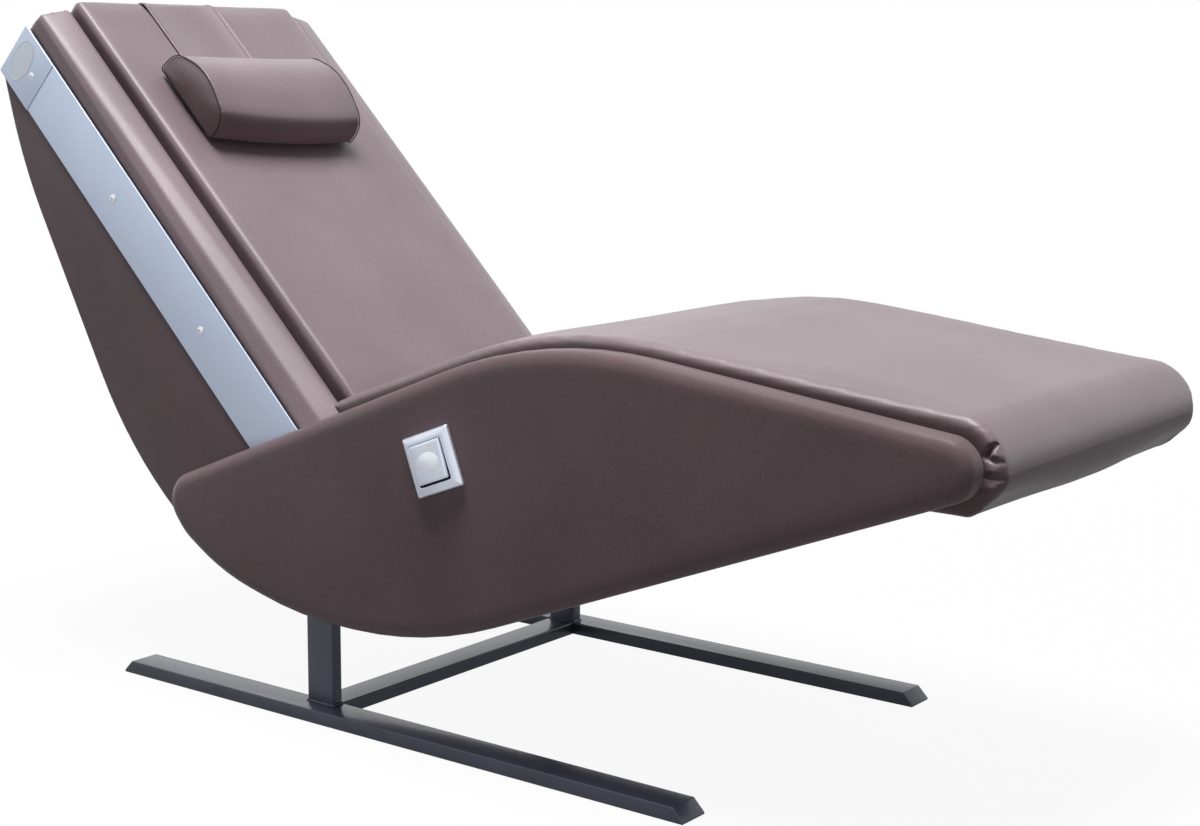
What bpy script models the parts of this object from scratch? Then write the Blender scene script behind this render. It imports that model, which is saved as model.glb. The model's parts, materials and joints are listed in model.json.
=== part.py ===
# Massage lounger: steel sled base, upholstered tub with side panels, trim, headrest and a roller drive in the back.
# Metres. X runs from head to foot, -Y is the switch side, Z is up. The origin is on the floor under the crossbar.
import bpy
import bmesh
from math import ceil, cos, pi, radians, sin, tan
from mathutils import Matrix, Vector

GAP = 0.0003                   # clearance between pieces that touch
RUN = 0.00015                  # radial running clearance of shafts

# Sled base
TUBE_WIDTH = 0.050
TUBE_HEIGHT = 0.020
TUBE_WALL = 0.002
RAIL_HEAD_X = -0.378           # ends of the rails' top faces
RAIL_FOOT_X = 0.645
MITRE = radians(45)
VENT_RADIUS = 0.004
POST_TOP_Z = 0.330
POST_PLATE = (0.110, 0.004, 0.090)

# Tub
TUB_HALF_WIDTH = 0.2965
SIDE_BOARD = 0.0205
SHELL = 0.006
TUB_FLOOR_Z = 0.166
BACK_ANGLE = radians(44.8)     # the back's incline from the floor
BACK_LENGTH = 1.130            # from the origin up the incline to the head end
TUB_BACK_OUT = 0.176           # rear corner of the head end, square out from the incline
TUB_BACK_RADIUS = 0.012
TUB_SHOULDER = (0.1288, 0.1022, 0.768)   # the rear's upper bend: below the head end, out, radius
TUB_HEEL = (0.4621, -0.0601, 0.656)       # the rear's lower bend: up the incline, out, radius
TUB_FLOOR_REAR = (-0.1437, 0.200)          # X and radius of the floor's corners
TUB_FLOOR_FRONT = (0.245, 0.530)
TUB_TOE = (0.018, 0.060)                  # bend under the foot end: before the wrap's end, radius
SLAT = 0.012
SLAT_OUT = 0.2575              # rear face of the back slats
SLAT_SIDE_WIDTH = 0.160
SLAT_TOP_WIDTH = 0.153
SLAT_BOTTOM_WIDTH = 0.115
SLAT_END_UP = 0.290            # lower end of the back
SLAT_SETBACK = 0.002           # slats end short of the tub's skin

# Seat and leg section: two straight lines joined by the knee's arc
KNEE_X = 0.425
KNEE_Z = 0.619
SEAT_SLOPE = radians(20.5)
LEG_SLOPE = radians(-6.0)
KNEE_RADIUS = 0.66
SEAT_DEPTH = 0.060             # foam over the seat board
SEAT_BOARD = 0.012
SEAT_HALF_WIDTH = TUB_HALF_WIDTH - 0.003
SEAT_ROUND = 0.016
FOOT_X = 1.066
FOOT_TOP_RADIUS = 0.065
FOOT_BOTTOM_RADIUS = 0.055
FOOT_UNDER_Z = 0.434
BOARD_END_X = FOOT_X - 0.056
WRAP_X = FOOT_X - 0.114        # where the cover's wrap meets the tub's skin

# Back upholstery
BOLSTER_WIDTH = 0.0595
GROOVE = 0.004
BACK_HALF_WIDTH = TUB_HALF_WIDTH - BOLSTER_WIDTH - GROOVE
BACK_CUSHION_OUT = 0.335       # front face
BACK_ROUND = 0.020
BACK_OVERHANG = 0.012          # cushion past the head end
BOLSTER_OUT = 0.322            # inner crest half way up
BOLSTER_TAPER = 0.028          # the crest at the seat stands this much prouder than at the head end
BOLSTER_SIDE_OUT = 0.293
BOLSTER_ROUND = 0.012

# Side panels
PANEL = 0.038
PANEL_ROUND = 0.014
PANEL_CORNERS = (              # X, Z and radius, from the rear tip over the knee to the foot and back underneath
    (-0.3006, 0.3125, 0.0444), (0.124, 0.4811, 1.000), (0.4292, 0.6034, 0.690),
    (1.0431, 0.5328, 0.0404), (1.0431, 0.4704, 0.0358), (0.2311, 0.1537, 0.690),
    (-0.005, 0.1537, 0.682), (-0.1674, 0.1953, 0.354), (-0.2448, 0.2436, 0.093))

# Trim strips
TRIM = 0.003
TRIM_WIDTH = 0.0955
TRIM_OUT = 0.2745              # front edge
TRIM_LOW_UP = 0.260
TRIM_END = 0.086               # length of the end plate
TRIM_PROUD = 0.002             # end plate past the head end
TRIM_SEAM_UP = BACK_LENGTH - TRIM_END
TRIM_SCREW_LOW = 0.580         # screws below the head end
TRIM_SCREW_MIDDLE = 0.316
TRIM_SCREW_HIGH = 0.059
TRIM_SCREWS_UP = (BACK_LENGTH - TRIM_SCREW_LOW, BACK_LENGTH - TRIM_SCREW_MIDDLE, BACK_LENGTH - TRIM_SCREW_HIGH)
SCREW_HEAD_RADIUS = 0.0062
SCREW_HEAD = 0.003
SCREW_SHANK_RADIUS = 0.002
SCREW_LENGTH = 0.016

# Switch on the near side panel
SWITCH_X = 0.262
SWITCH_Z = 0.418
SWITCH_TURN = radians(21)
SWITCH_FRAME = 0.084
SWITCH_FRAME_DEPTH = 0.0105
SWITCH_FRAME_SLOPE = 0.004     # how far the frame's front draws in
ROCKER = 0.055
ROCKER_PLAY = 0.0009
ROCKER_PLATE = 0.005
ROCKER_PROUD = 0.0026
ROCKER_TILT = radians(3.5)
ROCKER_PIN_RADIUS = 0.0016
SWITCH_BOX_RADIUS = 0.030
SWITCH_BOX_DEPTH = 0.034

# Headrest
PILLOW_Y = -0.025
PILLOW_WIDTH = 0.300
PILLOW_BELOW = 0.145           # pillow's upper edge below the head end
PILLOW_HEIGHT = 0.160
PILLOW_THICK = 0.064
PILLOW_BROW = (0.020, 0.72, 0.030)     # upper bend: from the edge, share of the thickness, radius
PILLOW_CREST = (1.06, 0.060)           # middle: share of the thickness, radius
PILLOW_CHIN = (0.012, 0.62, 0.030)     # lower bend: from the edge, share of the thickness, radius
PILLOW_EDGES = (0.008, 0.010)          # radii of the edges on the strap
STRAP_WIDTH = 0.148
STRAP = 0.0025
STRAP_TUCK = 0.030             # strap's lower end above the pillow's lower edge
STRAP_DROP = 0.250
POUCH_SIZE = (0.022, 0.150, 0.110)
POUCH_DROP = 0.130             # from the head end's rear corner to the counterweight's top

# Roller drive
ROD_RADIUS = 0.007
ROD_Y = 0.120
ROD_OUT = 0.200
CROSS_RAIL = (0.024, 0.050)    # along the incline, square to it
CROSS_RAIL_LOW_UP = 0.384
CROSS_RAIL_HIGH_UP = BACK_LENGTH - 0.1425
SCREW_RADIUS = 0.006
SCREW_LOW_UP = CROSS_RAIL_LOW_UP - 0.044
BEARING_RADIUS = 0.012
BEARING_WIDTH = 0.008
MOTOR_RADIUS = 0.027
GEARBOX_RADIUS = 0.033
GEARBOX = 0.045
MOTOR = 0.085
CARRIAGE_UP = CROSS_RAIL_LOW_UP + 0.101
CARRIAGE_HALF = 0.080
CARRIAGE_PLATE = 0.006
CARRIAGE_PLATE_OUT = 0.180
BUSH_RADIUS = 0.010
BUSH_LENGTH = 0.024
BUSH_BLOCK = 0.028
ROLLER_RADIUS = 0.030
ROLLER_WIDTH = 0.046
ROLLER_Y = 0.074
ROLLER_UP = 0.036
ROLLER_OUT = 0.2365
AXLE_RADIUS = 0.005
AXLE_LUG = 0.010
LUG_HALF = 0.011
LUG_PLAY = 0.003               # between a roller and its lug
SINK = 0.002                   # how far welded pieces reach into each other
NUT_RADIUS = 0.011
NUT_LENGTH = 0.036
NUT_BLOCK = 0.032

# Electrical pieces
SUPPLY_SIZE = (0.120, 0.180, 0.050)
SUPPLY_X = 0.075
SUPPLY_Y = 0.080
INLET_X = 0.075
INLET_Y = -0.140
INLET_FLANGE = (0.050, 0.032, 0.002)
INLET_BODY = (0.030, 0.024, 0.026)
INLET_SOCKET = (0.024, 0.016, 0.017)

RAIL_INNER_Y = TUB_HALF_WIDTH - SIDE_BOARD
BASE_HALF_WIDTH = RAIL_INNER_Y + TUBE_WIDTH
POST_OUTER_Y = RAIL_INNER_Y + TUBE_HEIGHT
PANEL_INNER_Y = TUB_HALF_WIDTH + TRIM + 2 * GAP
PANEL_OUTER_Y = PANEL_INNER_Y + PANEL
SEAT_REAR_OUT = BACK_CUSHION_OUT + 0.0075
SIDES = (("near", -1), ("far", 1))

for old in list(bpy.data.objects):
    bpy.data.objects.remove(old)

parts = bpy.data.collections.new("massage_lounger")
cutters = bpy.data.collections.new("cutters")
bpy.context.scene.collection.children.link(parts)
bpy.context.scene.collection.children.link(cutters)
cutters.hide_render = True


def material(name, colour, roughness, metallic=0.0):
    made = bpy.data.materials.new(name)
    made.use_nodes = True
    shader = made.node_tree.nodes["Principled BSDF"]
    shader.inputs["Base Color"].default_value = (*colour, 1.0)
    shader.inputs["Roughness"].default_value = roughness
    shader.inputs["Metallic"].default_value = metallic
    return made


STEEL = material("anthracite_steel", (0.045, 0.048, 0.065), 0.35, 0.6)
LEATHER = material("brown_leather", (0.16, 0.11, 0.11), 0.45)
LEATHER_DARK = material("brown_leather_side", (0.10, 0.07, 0.07), 0.5)
ALUMINIUM = material("anodised_aluminium", (0.42, 0.50, 0.62), 0.35, 0.8)
BRIGHT = material("bright_steel", (0.7, 0.7, 0.7), 0.2, 1.0)
SILVER = material("silver_switch", (0.48, 0.50, 0.56), 0.3, 0.6)
BOARD = material("plywood", (0.55, 0.40, 0.24), 0.7)
BLACK = material("black_plastic", (0.03, 0.03, 0.03), 0.5)
BRONZE = material("bronze", (0.55, 0.38, 0.18), 0.35, 1.0)
RUBBER = material("roller_rubber", (0.12, 0.12, 0.13), 0.7)


# The back's own frame: -X runs up the incline, Z stands square out of it.
back_axes = bpy.data.objects.new("back_axes", None)
back_axes.rotation_euler = (0, BACK_ANGLE, 0)
parts.objects.link(back_axes)
BACK = Matrix.Rotation(BACK_ANGLE, 4, "Y")
ACROSS = Matrix(((0, 0, 1, 0), (1, 0, 0, 0), (0, 1, 0, 0), (0, 0, 0, 1)))   # drawn X to Y, Y to Z, Z to X


def on_back(up, out):
    """World X and Z of a point up the incline and square out from it."""
    return (-up * cos(BACK_ANGLE) + out * sin(BACK_ANGLE), up * sin(BACK_ANGLE) + out * cos(BACK_ANGLE))


def new_object(name, data, surface=None, collection=parts):
    made = bpy.data.objects.new(name, data)
    collection.objects.link(made)
    if surface:
        data.materials.append(surface)
    return made


def place(obj, location=(0, 0, 0), turn=None, parent=None):
    obj.matrix_basis = Matrix.Translation(location) @ (turn or Matrix.Identity(4))
    obj.parent = parent
    return obj


def helper(obj):
    """Turns an object into a hidden tool for a Boolean."""
    for holder in obj.users_collection:
        holder.objects.unlink(obj)
    cutters.objects.link(obj)
    obj.hide_render = True
    obj.display_type = "WIRE"
    return obj


def combine(obj, tool, operation="DIFFERENCE"):
    step = obj.modifiers.new(tool.name, "BOOLEAN")
    step.operation = operation
    step.object = helper(tool)
    return obj


def soften(obj, width, segments=1):
    step = obj.modifiers.new("softened_edges", "BEVEL")
    step.width = width
    step.segments = segments
    step.limit_method = "ANGLE"
    step.angle_limit = radians(35)
    return obj


def block(name, low, high, surface, parent=None, edge=0, segments=1):
    """A box between two corners, in its parent's frame."""
    low, high = Vector(low), Vector(high)
    bpy.ops.mesh.primitive_cube_add(size=1)
    made = bpy.context.object
    made.name = name
    made.data.transform(Matrix.Diagonal((*(high - low), 1)))
    for holder in made.users_collection:
        holder.objects.unlink(made)
    parts.objects.link(made)
    made.data.materials.append(surface)
    place(made, (low + high) / 2, parent=parent)
    return soften(made, edge, segments) if edge else made


def turned(name, profile, surface, location=(0, 0, 0), turn=None, parent=None, steps=24, ring=False):
    """A turned piece round local Z. The profile holds radius and height, down its outer side."""
    mesh = bpy.data.meshes.new(name)
    edges = [(i, i + 1) for i in range(len(profile) - 1)] + ([(len(profile) - 1, 0)] if ring else [])
    mesh.from_pydata([(r, 0, z) for r, z in profile], edges, [])
    made = new_object(name, mesh, surface)
    step = made.modifiers.new("turned", "SCREW")
    step.steps = step.render_steps = steps
    step.use_merge_vertices = True
    step.merge_threshold = 0.00001
    step.use_smooth_shade = False
    return place(made, location, turn, parent)


def rod_profile(radius, length, chamfer=0.0006):
    half = length / 2
    return [(0, half), (radius - chamfer, half), (radius, half - chamfer),
            (radius, chamfer - half), (radius - chamfer, -half), (0, -half)]


def bore_profile(radius, length):
    half = length / 2
    return [(0, half), (radius, half), (radius, -half), (0, -half)]


def ring_profile(outer, inner, length):
    half = length / 2
    return [(outer, half), (outer, -half), (inner, -half), (inner, half)]


def rounded(corners, closed=True, turn_step=radians(7)):
    """Points of an outline whose corners (x, z, radius) are joined by straight lines and arcs."""
    points = []
    count = len(corners)
    for i, (x, z, radius) in enumerate(corners):
        here = Vector((x, z))
        if radius == 0 or (not closed and i in (0, count - 1)):
            points.append(here)
            continue
        before = (Vector(corners[i - 1][:2]) - here).normalized()
        after = (Vector(corners[(i + 1) % count][:2]) - here).normalized()
        opening = before.angle(after)
        reach = radius / tan(opening / 2)
        centre = here + (before + after).normalized() * radius / sin(opening / 2)
        start = here + before * reach - centre
        sweep = (here + before * reach - centre).angle_signed(here + after * reach - centre)
        steps = max(2, ceil(abs(sweep) / turn_step))
        for k in range(steps + 1):
            spot = start.copy()
            spot.rotate(Matrix.Rotation(-sweep * k / steps, 2))
            points.append(centre + spot)
    return points


def shifted(path, distance):
    """An open path moved to its left by a distance."""
    moved = []
    for i, spot in enumerate(path):
        before = (spot - path[i - 1]).normalized() if i else None
        after = (path[i + 1] - spot).normalized() if i < len(path) - 1 else None
        first = before or after
        second = after or before
        left = Vector((-first.y - second.y, first.x + second.x)).normalized()
        moved.append(spot + left * distance / (left @ Vector((-second.y, second.x))))
    return moved


def crossing(a, along_a, b, along_b):
    """Where two lines meet, each given by a point and a direction."""
    a, along_a, b, along_b = (Vector(v) for v in (a, along_a, b, along_b))
    share = (b - a).cross(along_b) / along_a.cross(along_b)
    return a + along_a * share


def profile_plate(name, outline, low_y, high_y, surface, rounding=0.0):
    """A plate with an outline in X and Z, between two Y planes, with its rim rounded over."""
    curve = bpy.data.curves.new(name, "CURVE")
    curve.dimensions = "2D"
    curve.fill_mode = "BOTH"
    curve.extrude = (high_y - low_y) / 2 - rounding
    curve.bevel_depth = rounding
    curve.bevel_resolution = 2
    curve.offset = -rounding
    spline = curve.splines.new("POLY")
    spline.points.add(len(outline) - 1)
    for point, spot in zip(spline.points, outline):
        point.co = (spot[0], spot[1], 0, 1)
    spline.use_cyclic_u = True
    drawn = bpy.data.objects.new(name + "_outline", curve)
    parts.objects.link(drawn)
    made = meshed(name, drawn, surface)
    return place(made, (0, (low_y + high_y) / 2, 0), Matrix.Rotation(pi / 2, 4, "X"))


def meshed(name, drawn, surface):
    """The closed mesh of a curve object, which it replaces."""
    graph = bpy.context.evaluated_depsgraph_get()
    mesh = bpy.data.meshes.new_from_object(drawn.evaluated_get(graph))
    mesh.materials.clear()
    bpy.data.objects.remove(drawn)
    work = bmesh.new()
    work.from_mesh(mesh)
    bmesh.ops.remove_doubles(work, verts=work.verts, dist=0.00001)
    bmesh.ops.recalc_face_normals(work, faces=work.faces)
    work.to_mesh(mesh)
    work.free()
    return new_object(name, mesh, surface)


def bent_sheet(name, path, half_width, thickness, surface, left=True, centre_y=0.0):
    """A sheet that follows a path in X and Z, thickened to the left of the path or to its right."""
    mesh = bpy.data.meshes.new(name)
    rows = [(p.x, centre_y + y, p.y) for p in path for y in (-half_width, half_width)]
    faces = [(2 * i, 2 * i + 2, 2 * i + 3, 2 * i + 1) for i in range(len(path) - 1)]
    mesh.from_pydata(rows, [], faces)
    made = new_object(name, mesh, surface)
    step = made.modifiers.new("thickness", "SOLIDIFY")
    step.thickness = thickness
    step.offset = 1 if left else -1
    step.use_even_offset = True
    return made


# Lines of the seat and leg section, at a depth under the cushion's top
def seat_point(depth, out):
    """Where the seat line at a depth meets the plane that stands out from the back."""
    along = Vector((cos(SEAT_SLOPE), sin(SEAT_SLOPE)))
    start = Vector((KNEE_X, KNEE_Z)) + Vector((along.y, -along.x)) * depth
    return crossing(start, along, on_back(0, out), (-cos(BACK_ANGLE), sin(BACK_ANGLE)))


def knee_point(depth):
    seat = Vector((cos(SEAT_SLOPE), sin(SEAT_SLOPE)))
    leg = Vector((cos(LEG_SLOPE), sin(LEG_SLOPE)))
    knee = Vector((KNEE_X, KNEE_Z))
    return crossing(knee + Vector((seat.y, -seat.x)) * depth, seat, knee + Vector((leg.y, -leg.x)) * depth, leg)


def leg_point(depth, x):
    knee = knee_point(depth)
    return Vector((x, knee.y + (x - knee.x) * tan(LEG_SLOPE)))


def seat_corners(depth, out, end_x):
    return [(*seat_point(depth, out), 0), (*knee_point(depth), KNEE_RADIUS - depth), (*leg_point(depth, end_x), 0)]


def tub_path():
    """The tub's outer line: head end, back, underside, up to the cover's wrap at the foot."""
    below, shoulder_out, shoulder_radius = TUB_SHOULDER
    heel_up, heel_out, heel_radius = TUB_HEEL
    corners = [(*on_back(BACK_LENGTH, SLAT_OUT - GAP), 0),
               (*on_back(BACK_LENGTH, TUB_BACK_OUT), TUB_BACK_RADIUS),
               (*on_back(BACK_LENGTH - below, shoulder_out), shoulder_radius),
               (*on_back(heel_up, heel_out), heel_radius),
               (TUB_FLOOR_REAR[0], TUB_FLOOR_Z, TUB_FLOOR_REAR[1]),
               (TUB_FLOOR_FRONT[0], TUB_FLOOR_Z, TUB_FLOOR_FRONT[1]),
               (WRAP_X - TUB_TOE[0], FOOT_UNDER_Z, TUB_TOE[1]),
               (WRAP_X, FOOT_UNDER_Z, 0)]
    return rounded(corners, closed=False)


def make_base():
    slant = TUBE_HEIGHT / tan(MITRE)
    inner_slant = (TUBE_HEIGHT - 2 * TUBE_WALL) / tan(MITRE)
    end_wall = TUBE_WALL / sin(MITRE) + TUBE_WALL / tan(MITRE)
    for label, side in SIDES:
        low_y, high_y = sorted((side * RAIL_INNER_Y, side * BASE_HALF_WIDTH))
        outline = [(RAIL_HEAD_X - slant, 0), (RAIL_FOOT_X + slant, 0), (RAIL_FOOT_X, TUBE_HEIGHT),
                   (RAIL_HEAD_X, TUBE_HEIGHT)]
        hollow = [(RAIL_HEAD_X - slant + end_wall, TUBE_WALL),
                  (RAIL_FOOT_X + slant - end_wall, TUBE_WALL),
                  (RAIL_FOOT_X + slant - end_wall - inner_slant, TUBE_HEIGHT - TUBE_WALL),
                  (RAIL_HEAD_X - slant + end_wall + inner_slant, TUBE_HEIGHT - TUBE_WALL)]
        rail = profile_plate("rail_" + label, outline, low_y, high_y, STEEL)
        combine(rail, profile_plate("hollow_of_rail_" + label, hollow, low_y + TUBE_WALL, high_y - TUBE_WALL, STEEL))
        vent = turned("vent_of_rail_" + label, bore_profile(VENT_RADIUS, 2 * TUBE_HEIGHT), STEEL,
                      (RAIL_FOOT_X / 2, (low_y + high_y) / 2, TUBE_WALL - TUBE_HEIGHT), steps=12)
        combine(rail, vent)
        post_low, post_high = sorted((side * RAIL_INNER_Y, side * POST_OUTER_Y))
        post = block("post_" + label, (-TUBE_WIDTH / 2, post_low, TUBE_HEIGHT + GAP),
                     (TUBE_WIDTH / 2, post_high, POST_TOP_Z), STEEL)
        combine(post, block("hollow_of_post_" + label, (TUBE_WALL - TUBE_WIDTH / 2, post_low + TUBE_WALL, 0),
                            (TUBE_WIDTH / 2 - TUBE_WALL, post_high - TUBE_WALL, 2 * POST_TOP_Z), STEEL))
        length, thickness, height = POST_PLATE
        plate_low, plate_high = sorted((side * (RAIL_INNER_Y - GAP), side * (RAIL_INNER_Y - GAP - thickness)))
        block("post_plate_" + label, (-length / 2, plate_low, POST_TOP_Z - height - 0.010),
              (length / 2, plate_high, POST_TOP_Z - 0.010), STEEL)
    half = RAIL_INNER_Y - GAP
    bar = block("crossbar", (-TUBE_WIDTH / 2, -half, 0), (TUBE_WIDTH / 2, half, TUBE_HEIGHT), STEEL)
    combine(bar, block("hollow_of_crossbar", (TUBE_WALL - TUBE_WIDTH / 2, -2 * half, TUBE_WALL),
                       (TUBE_WIDTH / 2 - TUBE_WALL, 2 * half, TUBE_HEIGHT - TUBE_WALL), STEEL))


def post_slot(name, label, side):
    """The room for a post where it runs up through the tub."""
    low_y, high_y = sorted((side * (RAIL_INNER_Y - GAP), side * 2 * TUB_HALF_WIDTH))
    return block(name + label, (-TUBE_WIDTH / 2 - GAP, low_y, 0), (TUBE_WIDTH / 2 + GAP, high_y, POST_TOP_Z + GAP),
                 STEEL)


def make_tub():
    outer = tub_path()
    shell = bent_sheet("tub_shell", outer, TUB_HALF_WIDTH, SHELL, LEATHER_DARK)
    for label, side in SIDES:
        combine(shell, post_slot("shell_slot_", label, side))
    length, width, _ = INLET_BODY
    combine(shell, block("inlet_cut_out", (INLET_X - length / 2 - GAP, INLET_Y - width / 2 - GAP, 0),
                         (INLET_X + length / 2 + GAP, INLET_Y + width / 2 + GAP, 2 * TUB_FLOOR_Z), STEEL))
    under = SEAT_DEPTH + SEAT_BOARD + GAP
    inside = shifted(outer, SHELL + GAP)
    top = rounded(seat_corners(under, SLAT_OUT - GAP, BOARD_END_X), closed=False)
    outline = inside[:-1] + [Vector((BOARD_END_X, FOOT_UNDER_Z + SHELL + GAP))] + list(reversed(top))
    for label, side in SIDES:
        low_y, high_y = sorted((side * RAIL_INNER_Y, side * TUB_HALF_WIDTH))
        board = profile_plate("side_board_" + label, outline, low_y, high_y, LEATHER_DARK)
        combine(board, post_slot("board_slot_", label, side))
        for number, up in enumerate(TRIM_SCREWS_UP, 1):
            combine(board, screw_hole(f"board_hole_{label}_{number}", up, side))
    seat_top = rounded(seat_corners(SEAT_DEPTH, SLAT_OUT + SLAT + GAP, BOARD_END_X), closed=False)
    bent_sheet("seat_board", seat_top, TUB_HALF_WIDTH - SLAT_SETBACK, SEAT_BOARD, BOARD, left=False)


def make_slats():
    rear, front = SLAT_OUT, SLAT_OUT + SLAT
    edge = TUB_HALF_WIDTH - SLAT_SETBACK
    inner = edge - SLAT_SIDE_WIDTH
    high = BACK_LENGTH - SLAT_SETBACK
    for label, side in SIDES:
        low_y, high_y = sorted((side * inner, side * edge))
        block("back_slat_" + label, (-high, low_y, rear), (-SLAT_END_UP, high_y, front), BOARD, back_axes)
    inner -= GAP
    block("back_slat_top", (-high, -inner, rear), (SLAT_TOP_WIDTH - high, inner, front), BOARD, back_axes)
    block("back_slat_bottom", (-SLAT_END_UP - SLAT_BOTTOM_WIDTH, -inner, rear), (-SLAT_END_UP, inner, front), BOARD,
          back_axes)


def make_seat_cushion():
    wrap = WRAP_X + GAP
    inner_end = BOARD_END_X + GAP
    depth = SEAT_DEPTH - GAP
    corners = [(*seat_point(0, SEAT_REAR_OUT), 0),
               (*knee_point(0), KNEE_RADIUS),
               (*leg_point(0, FOOT_X), FOOT_TOP_RADIUS),
               (FOOT_X, FOOT_UNDER_Z, FOOT_BOTTOM_RADIUS),
               (wrap, FOOT_UNDER_Z, 0),
               (wrap, FOOT_UNDER_Z + SHELL, 0),
               (inner_end, FOOT_UNDER_Z + SHELL, 0),
               (*leg_point(depth, inner_end), 0),
               (*knee_point(depth), KNEE_RADIUS - depth),
               (*seat_point(depth, SEAT_REAR_OUT), 0)]
    outline = rounded(corners)
    rim = next(i for i, p in enumerate(outline) if p.y < FOOT_UNDER_Z + 0.0001)
    work = bmesh.new()
    verts = [work.verts.new((p.x, -SEAT_HALF_WIDTH, p.y)) for p in outline]
    face = work.faces.new(verts)
    grown = bmesh.ops.extrude_face_region(work, geom=[face])
    far = [v for v in grown["geom"] if isinstance(v, bmesh.types.BMVert)]
    bmesh.ops.translate(work, vec=(0, 2 * SEAT_HALF_WIDTH, 0), verts=far)
    work.edges.ensure_lookup_table()
    on_rim = {(round(p.x, 6), round(p.y, 6)) for p in outline[:rim]}
    edges = [e for e in work.edges if all((round(v.co.x, 6), round(v.co.z, 6)) in on_rim for v in e.verts)
             and abs(e.verts[0].co.y - e.verts[1].co.y) < SEAT_HALF_WIDTH]
    bmesh.ops.bevel(work, geom=edges, offset=SEAT_ROUND, segments=3, profile=0.5, affect="EDGES")
    bmesh.ops.recalc_face_normals(work, faces=work.faces)
    mesh = bpy.data.meshes.new("seat_cushion")
    work.to_mesh(mesh)
    work.free()
    new_object("seat_cushion", mesh, LEATHER)


def make_back_upholstery():
    rest = SLAT_OUT + SLAT + GAP
    block("back_cushion", (-BACK_LENGTH - BACK_OVERHANG, -BACK_HALF_WIDTH, rest),
          (-SLAT_END_UP, BACK_HALF_WIDTH, BACK_CUSHION_OUT), LEATHER, back_axes, BACK_ROUND, 3)
    inner = BACK_HALF_WIDTH + GROOVE
    for label, side in SIDES:
        section = rounded([(side * inner, rest, 0), (side * TUB_HALF_WIDTH, rest, 0),
                           (side * TUB_HALF_WIDTH, BOLSTER_SIDE_OUT, BOLSTER_ROUND),
                           (side * inner, BOLSTER_OUT, BOLSTER_ROUND)], turn_step=radians(25))
        bar = curve_section(f"back_bolster_{label}", section, -BACK_LENGTH, -SLAT_END_UP, LEATHER)
        taper_crest(bar, rest)


def taper_crest(bar, rest):
    """Raises the bolster's inner crest toward the seat and lowers it toward the head end."""
    length = BACK_LENGTH - SLAT_END_UP
    for vertex in bar.data.vertices:
        y, out, along = vertex.co
        inward = (TUB_HALF_WIDTH - abs(y)) / BOLSTER_WIDTH
        height = (out - rest) / (BOLSTER_OUT - rest)
        vertex.co.y += BOLSTER_TAPER * inward * height * along / length


def curve_section(name, section, low, high, surface, parent=back_axes):
    """A bar along the back with a cross section drawn across it."""
    curve = bpy.data.curves.new(name, "CURVE")
    curve.dimensions = "2D"
    curve.fill_mode = "BOTH"
    curve.extrude = (high - low) / 2
    spline = curve.splines.new("POLY")
    spline.points.add(len(section) - 1)
    for point, spot in zip(spline.points, section):
        point.co = (spot[0], spot[1], 0, 1)
    spline.use_cyclic_u = True
    drawn = bpy.data.objects.new(name + "_outline", curve)
    parts.objects.link(drawn)
    return place(meshed(name, drawn, surface), ((low + high) / 2, 0, 0), ACROSS, parent)


def make_panels():
    outline = rounded(PANEL_CORNERS)
    for label, side in SIDES:
        low_y, high_y = sorted((side * PANEL_INNER_Y, side * PANEL_OUTER_Y))
        panel = profile_plate("side_panel_" + label, outline, low_y, high_y, LEATHER_DARK, PANEL_ROUND)
        if side < 0:
            hole = turned("switch_box_hole", bore_profile(SWITCH_BOX_RADIUS + GAP, 4 * PANEL), STEEL,
                          (SWITCH_X, -PANEL_OUTER_Y, SWITCH_Z), Matrix.Rotation(pi / 2, 4, "X"), steps=32)
            combine(panel, hole)


def screw_hole(name, up, side):
    turn = Matrix.Rotation(side * -pi / 2, 4, "X")
    deep = 2 * (SCREW_LENGTH + TRIM)
    return turned(name, bore_profile(SCREW_SHANK_RADIUS + GAP, deep), STEEL,
                  (-up, side * TUB_HALF_WIDTH, TRIM_OUT - TRIM_WIDTH / 2), turn, back_axes, steps=10)


def make_trim():
    low_out = TRIM_OUT - TRIM_WIDTH
    end = BACK_LENGTH + TRIM_PROUD
    pieces = (("trim_strip_", TRIM_LOW_UP, TRIM_SEAM_UP), ("trim_end_", TRIM_SEAM_UP + GAP, end))
    for label, side in SIDES:
        low_y, high_y = sorted((side * (TUB_HALF_WIDTH + GAP), side * (TUB_HALF_WIDTH + GAP + TRIM)))
        for prefix, low, high in pieces:
            plate = block(prefix + label, (-high, low_y, low_out), (-low, high_y, TRIM_OUT), ALUMINIUM, back_axes)
            for number, up in enumerate(TRIM_SCREWS_UP, 1):
                if low < up < high:
                    combine(plate, screw_hole(f"{prefix}hole_{label}_{number}", up, side))
        for number, up in enumerate(TRIM_SCREWS_UP, 1):
            face = TUB_HALF_WIDTH + TRIM + 2 * GAP
            dome = [(0, SCREW_HEAD), (SCREW_HEAD_RADIUS * 0.55, SCREW_HEAD * 0.85),
                    (SCREW_HEAD_RADIUS * 0.9, SCREW_HEAD * 0.45), (SCREW_HEAD_RADIUS, 0), (SCREW_SHANK_RADIUS, 0),
                    (SCREW_SHANK_RADIUS, -SCREW_LENGTH), (0, -SCREW_LENGTH - SCREW_SHANK_RADIUS)]
            turned(f"trim_screw_{label}_{number}", dome, BRIGHT, (-up, side * face, TRIM_OUT - TRIM_WIDTH / 2),
                   Matrix.Rotation(side * -pi / 2, 4, "X"), back_axes, steps=12)


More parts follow.
